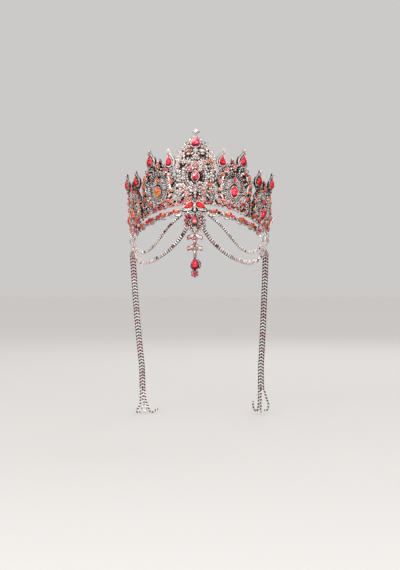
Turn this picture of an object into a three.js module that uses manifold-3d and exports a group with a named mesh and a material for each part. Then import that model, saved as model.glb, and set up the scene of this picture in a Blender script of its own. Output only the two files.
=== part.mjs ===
// Bridal crown: an open-backed silver crown of cast openwork panels on a rim wire, with red
// pear stones on spires, a stone-set forehead strip, swagged chains, a centre drop and side
// tassels. It stands as it is worn: front up and towards -Y, sides falling to the ears.
import * as THREE from 'three';
import { mergeVertices } from 'three/addons/utils/BufferGeometryUtils.js';
import Module from 'manifold-3d';

const wasm = await Module();
wasm.setup();

// ---- Driving dimensions, in millimetres and radians ----
const RIM_RADIUS = 78; // centre line of the rim, seen along the axis of the crown
const FLARE = THREE.MathUtils.degToRad(8); // the wall opens outwards by this much
const TILT = THREE.MathUtils.degToRad(15); // the crown leans back on the head
const RIM_DIP = 13; // the rim is this much lower at the ears than at the front
const RIM_END = 127; // half the length of the rim wire, along the rim
const RIM_WIRE = 1.1; // radius
const RIM_OUT = 0.9; // centre line of the rim wire in front of the back of the panels
const WALL = 1.8; // thickness of the cast metal
const GAP = 0.3; // between pieces that touch
const STONE = 3.4; // thickness of a large stone
const TABLE = 0.58; // a stone's flat top, as a share of its width
const BOW_BACK = RIM_OUT + RIM_WIRE + GAP;
const STRIP_DROP = 8; // the forehead strip runs this far below the rim
const STRIP_END = 88;
const CHAIN_THIN = 1.35; // radius of the one-row swag
const CHAIN_WIDE = 2; // radius of the two-row swag
const STRAND = 0.95; // radius of a tassel strand
const PENDANT_BACK = -78.6; // the pendant hangs plumb in this plane
const HINGE = { y: -79.7, z: -10.4, pin: 0.6, hole: 0.95, eye: 2 };
const LINKS_AT = { front: 96.5, back: 108 }; // along the rim, where the side links hang
const EYE = { ring: 1.9, wire: 0.6, below: 2.7 }; // soldered under the rim for each link

const SILVER = { color: 0xd9dade, roughness: 0.28, metalness: 1 };
const CHAIN = { color: 0xd8d2d2, roughness: 0.35, metalness: 1 };
const RED = { color: 0xc30f26, roughness: 0.08, metalness: 0 };
const CORAL = { color: 0xe8573a, roughness: 0.1, metalness: 0 };
const CLEAR = { color: 0xf4eef0, roughness: 0.05, metalness: 0 };

// ---- From the flat layout to the crown ----
// s runs along the rim from the front to +X, h up the wall and off outwards from its back.
function onRing(s, h, off = 0) {
  const turn = s / RIM_RADIUS;
  const radius = RIM_RADIUS + h * Math.sin(FLARE) + off * Math.cos(FLARE);
  const up = h * Math.cos(FLARE) - off * Math.sin(FLARE);
  const point = new THREE.Vector3(radius * Math.sin(turn), -radius * Math.cos(turn), up);
  return point.applyAxisAngle(new THREE.Vector3(1, 0, 0), -TILT);
}

const rimHeight = (s) => -RIM_DIP * Math.sin(s / RIM_RADIUS) ** 2;

function wrap(geometry) {
  const position = geometry.attributes.position;
  for (let i = 0; i < position.count; i += 1) {
    const p = onRing(position.getX(i), position.getY(i), position.getZ(i));
    position.setXYZ(i, p.x, p.y, p.z);
  }
  return geometry;
}

function upright(geometry) {
  return geometry.rotateX(Math.PI / 2).translate(0, PENDANT_BACK, 0);
}

function mirrored(geometry) {
  const copy = geometry.clone().scale(-1, 1, 1);
  const index = copy.index.array;
  for (let i = 0; i < index.length; i += 3) {
    [index[i], index[i + 1]] = [index[i + 1], index[i]];
  }
  return copy;
}

// ---- Solids: made by three.js, joined by manifold-3d ----
function bare(geometry) {
  geometry.deleteAttribute('normal');
  geometry.deleteAttribute('uv');
  return mergeVertices(geometry, 1e-4);
}

function solid(geometry) {
  const plain = bare(geometry);
  const vertProperties = new Float32Array(plain.attributes.position.array);
  const triVerts = new Uint32Array(plain.index.array);
  return new wasm.Manifold(new wasm.Mesh({ numProp: 3, vertProperties, triVerts }));
}

function geometryOf(body) {
  const mesh = body.getMesh();
  const geometry = new THREE.BufferGeometry();
  geometry.setAttribute('position', new THREE.BufferAttribute(mesh.vertProperties, 3));
  geometry.setIndex(new THREE.BufferAttribute(mesh.triVerts, 1));
  return geometry;
}

const joined = (geometries) => geometryOf(geometries.map(solid).reduce((a, b) => a.add(b)));

// ---- Outlines in the flat layout ----
function turned(points, x, y, turn) {
  const centre = new THREE.Vector2(0, 0);
  return points.map((p) => p.rotateAround(centre, turn).add(new THREE.Vector2(x, y)));
}

function loop(sides, place) {
  return Array.from({ length: sides }, (_, i) => place((2 * Math.PI * i) / sides));
}

function oval(x, y, wide, high, { sides = 6, turn = 0 } = {}) {
  const at = (a) => new THREE.Vector2((wide / 2) * Math.cos(a), (high / 2) * Math.sin(a));
  return turned(loop(sides, at), x, y, turn);
}

// Round below, pointed above, and turned anticlockwise by turn.
function pear(x, y, wide, high, { sides = 10, turn = 0 } = {}) {
  const at = (a) => {
    const belly = Math.sin(a) * Math.abs(Math.sin(a / 2)) ** 1.3 * 1.24;
    return new THREE.Vector2((-wide / 2) * belly, (high / 2) * Math.cos(a));
  };
  return turned(loop(sides, at), x, y, turn);
}

// Pointed at both ends; leaves have this outline too.
function navette(x, y, wide, high, { sides = 6, turn = 0 } = {}) {
  const at = (a) => {
    const side = Math.sign(Math.sin(a)) * (1 - Math.cos(a) ** 2);
    return new THREE.Vector2((-wide / 2) * side, (high / 2) * Math.cos(a));
  };
  return turned(loop(sides, at), x, y, turn);
}

function flower(x, y, wide, petals) {
  const at = (a) => {
    const reach = (wide / 2) * (0.8 + 0.2 * Math.cos(petals * a));
    return new THREE.Vector2(reach * Math.sin(a), reach * Math.cos(a));
  };
  return turned(loop(petals * 2, at), x, y, 0);
}

function band(points, wide, steps) {
  const curve = new THREE.SplineCurve(points.map(([x, y]) => new THREE.Vector2(x, y)));
  const left = [];
  const right = [];
  for (let i = 0; i <= steps; i += 1) {
    const at = curve.getPoint(i / steps);
    const way = curve.getTangent(i / steps);
    const side = new THREE.Vector2(-way.y, way.x).multiplyScalar(wide / 2);
    left.push(at.clone().add(side));
    right.unshift(at.clone().sub(side));
  }
  return [...left, ...right];
}

// ---- Flat solids from outlines ----
function plate(outline, from = 0, to = WALL, hole = null) {
  const shape = new THREE.Shape(outline);
  if (hole) shape.holes.push(new THREE.Path(hole));
  const settings = { depth: to - from, bevelEnabled: false, steps: 1 };
  return new THREE.ExtrudeGeometry(shape, settings).translate(0, 0, from);
}

// A cut stone: straight up to its girdle, then tapered to its table.
function stone(outline, from = WALL + GAP, thick = STONE) {
  const settings = { depth: thick, bevelEnabled: false, steps: 2 };
  const geometry = bare(new THREE.ExtrudeGeometry(new THREE.Shape(outline), settings));
  const sum = outline.reduce((total, p) => total.add(p), new THREE.Vector2());
  const middle = sum.divideScalar(outline.length);
  const position = geometry.attributes.position;
  for (let i = 0; i < position.count; i += 1) {
    if (position.getZ(i) > thick * 0.9) {
      const x = THREE.MathUtils.lerp(middle.x, position.getX(i), TABLE);
      const y = THREE.MathUtils.lerp(middle.y, position.getY(i), TABLE);
      position.setXY(i, x, y);
    }
  }
  return geometry.translate(0, 0, from);
}

function footBand(from, to) {
  const low = RIM_WIRE + GAP;
  const steps = Math.round((to - from) / 7);
  const points = Array.from({ length: steps + 1 }, (_, i) => {
    const s = from + ((to - from) * i) / steps;
    return [s, rimHeight(s) + low + 1.1];
  });
  return plate(band(points, 2.2, steps));
}

// ---- Tubes ----
function tube(points, radius, steps, { closed = false, sides = 8 } = {}) {
  const path = new THREE.CatmullRomCurve3(points, closed, 'centripetal');
  const section = new THREE.Shape(oval(0, 0, 2 * radius, 2 * radius, { sides }));
  return new THREE.ExtrudeGeometry(section, { extrudePath: path, steps, bevelEnabled: false });
}

// A link is a long ring of wire, hung by its top, in the plane of the vertical and reach.
function link(top, reach, wide, high, wire) {
  const points = loop(12, (a) => {
    const out = (wide / 2) * Math.sin(a);
    const down = (high / 2) * (Math.cos(a) - 1);
    return top.clone().addScaledVector(reach, out).add(new THREE.Vector3(0, 0, down));
  });
  return tube(points, wire, 12, { closed: true, sides: 6 });
}

const crown = new THREE.Group();

function add(name, geometry, look) {
  const mesh = new THREE.Mesh(bare(geometry), new THREE.MeshStandardMaterial(look));
  mesh.name = name;
  crown.add(mesh);
}

function addPair(name, geometry, look) {
  const right = bare(geometry);
  add(`${name}_right`, right, look);
  add(`${name}_left`, mirrored(right), look);
}

// ---- Rim wire, with a plain loop at each end and eyes for the side links ----
const rimPoint = (s, below = 0) => onRing(s, rimHeight(s) - below, RIM_OUT);

function rimWire() {
  const stops = 44;
  const points = Array.from({ length: stops + 1 }, (_, i) => {
    return rimPoint(RIM_END * ((2 * i) / stops - 1));
  });
  const loopRadius = 3.2;
  const rings = [-1, 1].flatMap((side) => {
    const end = new THREE.TorusGeometry(loopRadius, RIM_WIRE, 6, 12).rotateY(Math.PI / 2);
    end.translate(...rimPoint(side * (RIM_END + loopRadius)).toArray());
    const eyes = Object.values(LINKS_AT).map((s) => {
      const eye = new THREE.TorusGeometry(EYE.ring, EYE.wire, 6, 8).rotateX(Math.PI / 2);
      eye.rotateZ(side * (s / RIM_RADIUS));
      return eye.translate(...rimPoint(side * s, EYE.below).toArray());
    });
    return [end, ...eyes];
  });
  add('rim_wire', joined([tube(points, RIM_WIRE, stops), ...rings]), SILVER);
}

// ---- Centre panel: ogive frame, oval medallion and finial ----
const FINIAL = { h: 68.6, wide: 10, high: 14 };
const FINIAL_TIP = { h: 79.4, wide: 6.4 };
const MEDALLION = { h: 29.8, wide: 31, high: 35.5, band: 3.4 };
const CENTRE_STONE = { h: 29.8, wide: 7, high: 13.4 };

function ringPlate(s, h, wide, high, thick, sides) {
  const hole = oval(s, h, wide - 2 * thick, high - 2 * thick, { sides });
  return plate(oval(s, h, wide, high, { sides }), 0, WALL, hole);
}

function centrePanel() {
  const m = MEDALLION;
  const parts = [
    footBand(-19.5, 19.5),
    ringPlate(0, m.h, m.wide, m.high, m.band, 20),
    ringPlate(0, m.h, 15.4, 20.4, 2.2, 14),
    plate(band([[0, 44], [0, 64]], 2.4, 1)),
    plate(band([[0, 13], [0, 2.4]], 2.4, 1)),
    plate(pear(0, FINIAL.h, FINIAL.wide + 2, FINIAL.high + 2.4)),
    plate(band([[0, 74], [0, 79]], 2, 1)),
    plate(oval(0, FINIAL_TIP.h, FINIAL_TIP.wide + 0.8, FINIAL_TIP.wide + 1.6, { sides: 4 })),
    plate(oval(0, m.h, 4.6, 11)),
    plate(band([[0, 19], [0, 41]], 1.8, 1)),
    plate(band([[-13, 29.8], [13, 29.8]], 1.8, 2)),
    plate(oval(0, 58.6, 4.4, 4.4)),
    plate(flower(0, 47, 6, 5)),
  ];
  for (const side of [-1, 1]) {
    const frame = [[18, 2.6], [18.6, 20], [17.6, 38], [14.4, 50], [9.6, 60], [4.5, 66]];
    parts.push(
      plate(band(frame.map(([s, h]) => [side * s, h]), 2.6, 12)),
      plate(band([[side * 3, 54], [side * 7.5, 57.4], [side * 11, 57.4]], 2.2, 2)),
      plate(band([[side * 0.6, 8], [side * 9, 14], [side * 17, 12]], 2.2, 3)),
      plate(band([[side * 11, 40], [side * 17, 42]], 2.2, 1)),
      plate(flower(side * 8.4, 65, 7.4, 5)),
      plate(flower(side * 13, 54, 6, 5)),
      plate(flower(side * 16.8, 6.4, 6.8, 5)),
      plate(navette(side * 5.8, 58.4, 4, 7, { turn: side * 1.2 })),
      plate(navette(side * 16.4, 47.6, 4, 7.4, { turn: side * 0.3 })),
      plate(oval(side * 17, 40, 4.6, 4.6)),
      plate(oval(side * 17.2, 21, 5.4, 5.4)),
      plate(navette(side * 8.6, 16, 3.4, 6.4, { turn: side * 1.1 })),
      plate(pear(side * 4.2, 4.6, 4.2, 6, { sides: 10 })),
    );
  }
  add('centre_panel', wrap(joined(parts)), SILVER);
  add('finial_pear', wrap(stone(pear(0, FINIAL.h, FINIAL.wide, FINIAL.high))), RED);
  const tip = oval(0, FINIAL_TIP.h, FINIAL_TIP.wide, FINIAL_TIP.wide + 0.8, { sides: 4 });
  add('finial_tip', wrap(stone(tip, WALL + GAP, 3)), CLEAR);
  const navetteStone = navette(0, CENTRE_STONE.h, CENTRE_STONE.wide, CENTRE_STONE.high);
  add('centre_navette', wrap(stone(navetteStone)), RED);
}

// ---- Side panels: two spires over an oval medallion ----
// Both pairs have one design, laid out for the inner pair and shifted for the outer pair.
const SIDE_SEATS = [
  { s: 53.4, h: 38.7, wide: 4.4, high: 4.4 },
  { s: 58.6, h: 34.6, wide: 4.6, high: 7, turn: 0.7 },
  { s: 61.2, h: 26.8, wide: 4.6, high: 6.6, turn: 0 },
  { s: 60.6, h: 18.4, wide: 4.2, high: 4.2 },
  { s: 58.4, h: 10.6, wide: 4.4, high: 6.4, turn: -0.4 },
  { s: 32, h: 39.4, wide: 4.4, high: 6.4, turn: -0.8 },
  { s: 27.4, h: 33, wide: 4.6, high: 4.6 },
  { s: 24.6, h: 25.6, wide: 4.4, high: 6.6, turn: -0.1 },
  { s: 24.2, h: 16.6, wide: 4.4, high: 6.4, turn: 0.1 },
  { s: 26.4, h: 8.6, wide: 4, high: 4 },
  { s: 37.8, h: 50, wide: 4.4, high: 4.4 },
];
const SIDE_RING = { s: 41, h: 20.5, wide: 28.4, high: 38, band: 3.2 };
const SIDE_OVAL = { s: 41.6, h: 16.6, wide: 8.2, high: 14.6 };
const SIDE_NAVETTE = { s: 41.6, h: 29.2, wide: 3.8, high: 6.6 };
const SPIRE = { wide: 8, high: 12 };
const SHIFTS = {
  inner: { s: 0, h: 0, spires: [{ s: 27, h: 48.4 }, { s: 49.5, h: 52.4 }] },
  outer: { s: 46, h: -13.5, spires: [{ s: 27.4, h: 49.2 }, { s: 53, h: 54.6 }] },
};

function sideMetal(name, { s: ds, h: dh, spires }) {
  const at = (points) => points.map(([s, h]) => [s + ds, h + dh]);
  const strap = (points, wide, steps) => plate(band(at(points), wide, steps));
  const footTop = (s) => rimHeight(s + ds) + RIM_WIRE + GAP + 2 - dh;
  const [near, far] = spires;
  const ring = SIDE_RING;
  const ringLow = Math.max(ring.h - ring.high / 2, footTop(ring.s) - 1.4);
  const ringHigh = ring.h + ring.high / 2;
  const ringMiddle = (ringLow + ringHigh) / 2 + dh;
  const scrollEnd = (s) => Math.max(6, footTop(s) + 1);
  const oneSeat = ({ s, h, wide, high, turn = 0 }) => {
    const outline = wide === high ? oval : navette;
    return plate(outline(s + ds, h + dh, wide, high, { turn }));
  };
  const legs = [30, 41, 52].map((s) => {
    const low = footTop(s) - 1;
    const top = Math.max(6, low + 1.5);
    return strap([[s, low], [s, top]], 2.2, 1);
  });
  const parts = [
    footBand(22.8 + ds, 64.6 + ds),
    ...legs,
    ringPlate(ring.s + ds, ringMiddle, ring.wide, ringHigh - ringLow, ring.band, 18),
    strap([[41.6, ringLow + 1.5], [41.6, 37]], 2, 1),
    strap([[29, 18], [53, 18]], 2, 1),
    plate(oval(SIDE_OVAL.s + ds, SIDE_OVAL.h + dh, 10, 16.4, { sides: 12 })),
    plate(navette(SIDE_NAVETTE.s + ds, SIDE_NAVETTE.h + dh, 5.6, 8.6)),
    strap([[34, 37], [near.s, near.h - 5]], 2.6, 1),
    strap([[47.5, 36], [far.s, far.h - 5]], 2.6, 1),
    strap([[near.s, 43], [22.6, 43], [21.4, 48], [23, 53]], 2.4, 4),
    strap([[far.s, far.h - 5], [far.s - 5, 44], [far.s - 6.4, 50], [far.s - 5, 56]], 2.4, 4),
    strap([[40.6, 38], [37.8, 50]], 2.2, 1),
    plate(flower(40.4 + ds, 44 + dh, 7, 5)),
    strap([[50, 37], [57, 36], [61, 27], [60, 15], [55, scrollEnd(55)]], 2.4, 6),
    strap([[32, 38], [27, 33], [24.4, 23], [25, 12], [29, scrollEnd(29)]], 2.4, 6),
    strap([[53.6, 24], [60.6, 24]], 2, 1),
    strap([[28.6, 24], [24.6, 24]], 2, 1),
    ...SIDE_SEATS.map(oneSeat),
    ...spires.map(({ s, h }) => plate(pear(s + ds, h + dh, SPIRE.wide + 1.6, SPIRE.high + 2))),
  ];
  addPair(`${name}_panel`, wrap(joined(parts)), SILVER);
}

function sideStones(name, { s: ds, h: dh, spires }) {
  spires.forEach(({ s, h }, i) => {
    const outline = pear(s + ds, h + dh, SPIRE.wide, SPIRE.high);
    addPair(`${name}_spire_pear_${i + 1}`, wrap(stone(outline)), RED);
  });
  const { wide, high } = SIDE_OVAL;
  const big = oval(SIDE_OVAL.s + ds, SIDE_OVAL.h + dh, wide, high, { sides: 14 });
  addPair(`${name}_oval_stone`, wrap(stone(big)), RED);
  const small = SIDE_NAVETTE;
  const outline = navette(small.s + ds, small.h + dh, small.wide, small.high);
  addPair(`${name}_navette`, wrap(stone(outline, WALL + GAP, 2.2)), CORAL);
}

// ---- End pieces beside the ears ----
const END_PEAR = { s: 118, h: 5, wide: 6.6, high: 9.6 };

function endPieces() {
  const from = 113;
  const pearSeat = pear(END_PEAR.s, END_PEAR.h, END_PEAR.wide + 1.6, END_PEAR.high + 2);
  const parts = [
    footBand(from, RIM_END - 1),
    plate(pearSeat),
    plate(band([[118, -9.6], [118, -5], [118, 1]], 2.6, 3)),
    plate(navette(124, 8, 5, 20, { turn: -0.12 })),
    plate(band([[124.6, -9.6], [124.8, -6], [124.6, 0]], 2.4, 3)),
    plate(band([[118, -3], [121.4, -1], [124, 3]], 2.2, 3)),
    plate(oval(114.4, -5.6, 4, 4)),
    plate(band([[114.4, -9.6], [114.2, -7], [115, -4], [118, -2]], 2, 4)),
  ];
  addPair('end_piece', wrap(joined(parts)), SILVER);
  const outline = pear(END_PEAR.s, END_PEAR.h, END_PEAR.wide, END_PEAR.high);
  addPair('end_pear', wrap(stone(outline)), RED);
}

// ---- Bow of two pears over the front of the rim ----
const BOW = { s: 6.4, h: -3.4, wide: 6.6, high: 11.6, turn: -2.02 };

function bow() {
  const parts = [
    plate(oval(0, -5.2, 6, 8.4, { sides: 12 }), BOW_BACK, BOW_BACK + WALL),
    plate(oval(0, -9, 4.6, 4.6), BOW_BACK, BOW_BACK + WALL),
  ];
  for (const side of [-1, 1]) {
    const around = pear(side * BOW.s, BOW.h, BOW.wide + 1.8, BOW.high + 2.2, {
      turn: side * BOW.turn,
    });
    const leaf = [[2, -8.2], [6, -8.4], [11, -8.8], [14, -9.4]].map(([s, h]) => [side * s, h]);
    parts.push(
      plate(around, BOW_BACK, BOW_BACK + WALL),
      plate(band(leaf, 2.6, 5), BOW_BACK, BOW_BACK + WALL),
    );
  }
  add('bow_mount', wrap(joined(parts)), SILVER);
  const outline = pear(BOW.s, BOW.h, BOW.wide, BOW.high, { turn: BOW.turn });
  addPair('bow_pear', wrap(stone(outline, BOW_BACK + WALL + GAP, 3)), RED);
}

// ---- Forehead strip: a band of set stones below the rim ----
const STRIP_SEATS = [
  { s: 19, wide: 3.6, high: 7, turn: 1.25 },
  { s: 28, wide: 4.2, high: 4.2 },
  { s: 36.5, wide: 3.6, high: 7, turn: 1.3 },
  { s: 44.5, wide: 4.2, high: 4.2 },
  { s: 53, wide: 3.6, high: 7, turn: 1.3 },
  { s: 61, wide: 4.2, high: 4.2 },
  { s: 69.5, wide: 3.6, high: 7, turn: 1.35 },
  { s: 77.5, wide: 4.2, high: 4.2 },
  { s: 84, wide: 3.6, high: 6, turn: 1.4 },
];
const STRIP_BACK = 0.4;
const STRIP_FRONT = 2;

function foreheadStrip() {
  const stops = 16;
  const from = 12.6;
  const middle = (s) => rimHeight(s) - STRIP_DROP;
  const points = Array.from({ length: stops + 1 }, (_, i) => {
    const s = from + ((STRIP_END - from) * i) / stops;
    return [s, middle(s)];
  });
  const hanger = STRIP_END - 3;
  const top = rimHeight(hanger) - RIM_WIRE - 1.5 * GAP;
  const post = [[hanger, middle(hanger)], [hanger, (middle(hanger) + top) / 2], [hanger, top]];
  const seats = STRIP_SEATS.map(({ s, wide, high, turn = 0 }) => {
    const outline = wide === high ? oval : navette;
    return plate(outline(s, middle(s), wide, high, { turn }), STRIP_BACK, STRIP_FRONT + 0.8);
  });
  const parts = [
    plate(band(points, 2.6, 14), STRIP_BACK, STRIP_FRONT),
    plate(band(post, 2, 2), STRIP_BACK, STRIP_FRONT),
    ...seats,
  ];
  addPair('forehead_strip', wrap(joined(parts)), SILVER);
}

// ---- Swags: chains that hang in two bows from the front to the side links ----
// A route's columns are s, h and off.
const SWAGS = [
  {
    name: 'swag_inner',
    radius: CHAIN_THIN,
    steps: 20,
    route: [
      [14.6, -11.8, 0], [22, -17, 0], [30, -22.8, 0], [37, -28.8, 0], [44, -34.8, 0],
      [51, -39.8, 0], [58, -43.2, 0], [66, -45, 0], [74, -44.8, 0], [81, -42.8, 0],
      [87.5, -39.4, 0], [92.4, -35.6, 0.4], [96, -31.6, 0.8], [98.9, -27.2, 1.5],
    ],
  },
  {
    name: 'swag_outer',
    radius: CHAIN_WIDE,
    steps: 18,
    route: [
      [8.9, -25.8, 0], [13, -32.2, 0], [19, -39.4, 0], [27, -46, 0], [35, -50.8, 0],
      [44, -54.4, 0], [54, -56.6, 0], [64, -57.2, 0], [74, -56.4, 0], [83, -54, 0],
      [91, -50, 0], [97.6, -44.6, 0.5], [103, -37.6, 1.2], [107.3, -29.3, 2],
    ],
  },
];

function swags() {
  for (const { name, radius, steps, route } of SWAGS) {
    addPair(name, tube(route.map(([s, h, off]) => onRing(s, h, off)), radius, steps), CHAIN);
  }
}

// ---- Side links and tassels ----
const LINK = { wide: 6.2, high: 12, wire: 0.6 };
const JUMP_RING = { ring: 2.6, wire: 0.55 };
const CAP = { eye: 1.5, wire: 0.6, high: 5.4, wide: 7.6, flat: 0.6 };

function linkTop(s) {
  const slack = EYE.ring - EYE.wire - LINK.wire - GAP;
  return rimPoint(s, EYE.below).add(new THREE.Vector3(0, 0, -slack));
}

function hungLink(s) {
  const top = linkTop(s);
  const reach = new THREE.Vector3(top.x, top.y, 0).normalize();
  return link(top, reach, LINK.wide, LINK.high, LINK.wire);
}

// The jump ring rides in the link's foot, and the tassel cap's eye in the jump ring.
const linkFoot = linkTop(LINKS_AT.back).sub(new THREE.Vector3(0, 0, LINK.high));
const ringMiddle = linkFoot.z + LINK.wire + JUMP_RING.wire + GAP - JUMP_RING.ring;
const eyeMiddle = ringMiddle - JUMP_RING.ring + JUMP_RING.wire + CAP.wire + GAP - CAP.eye;
const TASSEL = {
  x: linkFoot.x,
  y: linkFoot.y,
  top: eyeMiddle - CAP.eye - 0.1,
  lean: { right: 6.5, left: 13 },
  bend: -172,
};

const STRAND_ENDS = {
  right: [
    [[72.7, -183], [74.2, -188], [76.4, -195.4], [78.6, -202.6], [77.4, -208.4], [73.8, -209.6]],
    [[70.1, -186], [70, -198], [70, -211.6]],
    [[67.8, -185], [67.6, -196], [67.2, -205.4], [65.4, -210], [62.6, -208.2], [61.4, -203.6],
      [61.6, -199.2]],
  ],
  left: [
    [[66.6, -186], [66.6, -196], [67, -203.4], [68.2, -206.4], [70.2, -209.6], [70.6, -211.8],
      [68.8, -212.6], [67, -212.2]],
    [[64.3, -186], [63.8, -196], [62.4, -204.7]],
    [[62, -186], [61.2, -196], [59.2, -203], [57.4, -208], [55.8, -211.4], [53, -212.2],
      [49.8, -210.4], [46.8, -208.4]],
  ],
};

// The ring that the left tassel's middle strand ends over.
const CLASP = { ring: 2.7, wire: 0.8, x: -62.4, z: -208.6 };

function strandRoute(i, end, side, lean) {
  const spread = (1 - i) * (2 * STRAND + GAP);
  const stops = 12;
  const start = TASSEL.top - CAP.high - GAP;
  const points = Array.from({ length: stops }, (_, n) => {
    const t = n / stops;
    const z = THREE.MathUtils.lerp(start, TASSEL.bend, t);
    const x = TASSEL.x + spread - lean * t * (0.6 + 0.3 * t);
    return new THREE.Vector3(side * x, TASSEL.y, z);
  });
  const tail = end.map(([x, z]) => new THREE.Vector3(side * x, TASSEL.y, z));
  return [...points, ...tail];
}

function jumpRing() {
  const ring = new THREE.TorusGeometry(JUMP_RING.ring, JUMP_RING.wire, 6, 12);
  return ring.rotateY(Math.PI / 2).translate(linkFoot.x, linkFoot.y, ringMiddle);
}

function tasselCap() {
  const mouth = CAP.wide / 2;
  const bellShape = [[0, -CAP.high], [mouth, -CAP.high], [mouth * 0.94, -3.2], [1.4, 0], [0, 0]];
  const bell = new THREE.LatheGeometry(bellShape.map(([r, z]) => new THREE.Vector2(r, z)), 14);
  bell.rotateX(Math.PI / 2).scale(1, CAP.flat, 1).translate(TASSEL.x, TASSEL.y, TASSEL.top);
  const eye = new THREE.TorusGeometry(CAP.eye, CAP.wire, 6, 10);
  eye.rotateX(Math.PI / 2).translate(TASSEL.x, TASSEL.y, eyeMiddle);
  return joined([bell, eye]);
}

function sides() {
  addPair('side_link_front', hungLink(LINKS_AT.front), SILVER);
  addPair('side_link_back', hungLink(LINKS_AT.back), SILVER);
  addPair('tassel_ring', jumpRing(), SILVER);
  addPair('tassel_cap', tasselCap(), SILVER);
  for (const [side, sign] of [['right', 1], ['left', -1]]) {
    STRAND_ENDS[side].forEach((end, i) => {
      const route = strandRoute(i, end, sign, TASSEL.lean[side]);
      add(`tassel_strand_${side}_${i + 1}`, tube(route, STRAND, 26), CHAIN);
    });
  }
  const clasp = new THREE.TorusGeometry(CLASP.ring, CLASP.wire, 6, 12);
  clasp.rotateX(Math.PI / 2).translate(CLASP.x, TASSEL.y, CLASP.z);
  add('tassel_clasp_ring_left', clasp, SILVER);
}

// ---- Pendant: a top cluster under the bow, and a drop that swings on its ring ----
const PENDANT_PEAR = { z: 2.6, wide: 7, high: 10.4 };
const DROP_PEAR = { z: -45.2, wide: 8.4, high: 11.4 };

function pendantTop() {
  const legs = [-1, 1].map((side) => plate(band([[side * 2.3, -5], [side * 2.3, -8],
    [side * 2.3, -11.2]], 1.1, 2), 0, -HINGE.y + PENDANT_BACK + 0.9));
  const flowers = [-1, 1].flatMap((side) => [
    plate(flower(side * 7.4, 5, 6.4, 5)),
    plate(flower(side * 8, -1.4, 6.6, 5)),
    plate(oval(side * 3.9, -6, 4.4, 4.4)),
    plate(band([[side * 3, 6.6], [side * 6.6, 2], [side * 6, -5]], 2.2, 4)),
  ]);
  const parts = [
    plate(pear(0, PENDANT_PEAR.z, PENDANT_PEAR.wide + 1.8, PENDANT_PEAR.high + 2)),
    plate(band([[-5.4, -4.4], [0, -3.6], [5.4, -4.4]], 2.4, 4)),
    plate(oval(0, 8, 2.8, 2.8)),
    ...legs,
    ...flowers,
  ];
  const pin = new THREE.CylinderGeometry(HINGE.pin, HINGE.pin, 4.8, 10);
  pin.rotateZ(Math.PI / 2).translate(0, HINGE.z, -HINGE.y + PENDANT_BACK);
  add('pendant_top', upright(joined([...parts, pin])), SILVER);
  const outline = pear(0, PENDANT_PEAR.z, PENDANT_PEAR.wide, PENDANT_PEAR.high);
  add('pendant_pear', upright(stone(outline, WALL + GAP, 3)), RED);
}

function dropEye() {
  const { hole, eye } = HINGE;
  const half = 0.8;
  const profile = [[hole, -half], [eye, -half], [eye, half], [hole, half], [hole, -half]];
  const ring = new THREE.LatheGeometry(profile.map(([r, x]) => new THREE.Vector2(r, x)), 14);
  return ring.rotateZ(Math.PI / 2).translate(0, HINGE.z, -HINGE.y + PENDANT_BACK);
}

function trefoil(z, size) {
  const petals = [-1, 1].map((side) => plate(oval(side * size, z, size * 1.5, size * 1.5)));
  return [
    ...petals,
    plate(oval(0, z - size * 1.15, size * 1.35, size * 1.35)),
    plate(band([[-size, z], [0, z - 0.6], [size, z]], 2.2, 2)),
    plate(band([[0, z + 2], [0, z - 2], [0, z - size]], 2.2, 2)),
  ];
}

function drop() {
  const mount = pear(0, DROP_PEAR.z, DROP_PEAR.wide + 1.8, DROP_PEAR.high + 2);
  const parts = [
    dropEye(),
    plate(band([[0, HINGE.z - 1.7], [0, -14], [0, -15.6]], 1.6, 2), 0, 2.2),
    ...trefoil(-16.4, 4.2),
    plate(band([[0, -20], [0, -24], [0, -28]], 2, 2)),
    ...trefoil(-28, 4),
    plate(band([[0, -31], [0, -35], [0, -40]], 2.4, 2)),
    plate(mount),
    plate(band([[0, -50], [0, -52], [0, -54]], 2, 2)),
    plate(flower(0, -55.6, 7.6, 6)),
  ];
  add('drop_mount', upright(joined(parts)), SILVER);
  const outline = pear(0, DROP_PEAR.z, DROP_PEAR.wide, DROP_PEAR.high);
  add('drop_pear', upright(stone(outline, WALL + GAP, 3)), RED);
}

rimWire();
centrePanel();
for (const [name, shift] of Object.entries(SHIFTS)) {
  sideMetal(name, shift);
  sideStones(name, shift);
}
endPieces();
bow();
foreheadStrip();
swags();
sides();
pendantTop();
drop();

export default crown;
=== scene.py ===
import random
from math import atan2, cos, hypot, pi, radians, sin

import bmesh
import bpy
import numpy
from mathutils import Matrix, Vector


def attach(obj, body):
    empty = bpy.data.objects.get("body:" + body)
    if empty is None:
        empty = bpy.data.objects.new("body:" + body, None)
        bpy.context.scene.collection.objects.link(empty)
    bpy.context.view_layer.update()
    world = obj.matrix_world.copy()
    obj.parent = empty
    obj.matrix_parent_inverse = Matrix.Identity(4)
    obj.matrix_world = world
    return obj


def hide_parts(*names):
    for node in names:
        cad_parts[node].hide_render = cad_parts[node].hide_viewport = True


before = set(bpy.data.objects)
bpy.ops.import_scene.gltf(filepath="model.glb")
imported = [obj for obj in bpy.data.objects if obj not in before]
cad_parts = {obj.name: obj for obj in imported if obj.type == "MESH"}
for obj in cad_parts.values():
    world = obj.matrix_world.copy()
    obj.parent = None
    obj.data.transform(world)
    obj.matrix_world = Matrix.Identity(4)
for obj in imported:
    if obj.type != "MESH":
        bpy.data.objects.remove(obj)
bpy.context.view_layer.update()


# ---- Rim wire ----
# A round brass wire, rhodium plated and bent to the head, with its sides falling to the ears.
# Each end is closed to a plain loop for a hairpin, and eyes for the side links are soldered on.
MM = 0.001
RIM_RADIUS = 78
FLARE = radians(8)
LEAN = Matrix.Rotation(radians(-15), 3, "X")
RIM_DIP = 13
RIM_END = 127
RIM_WIRE = 1.1
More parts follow.
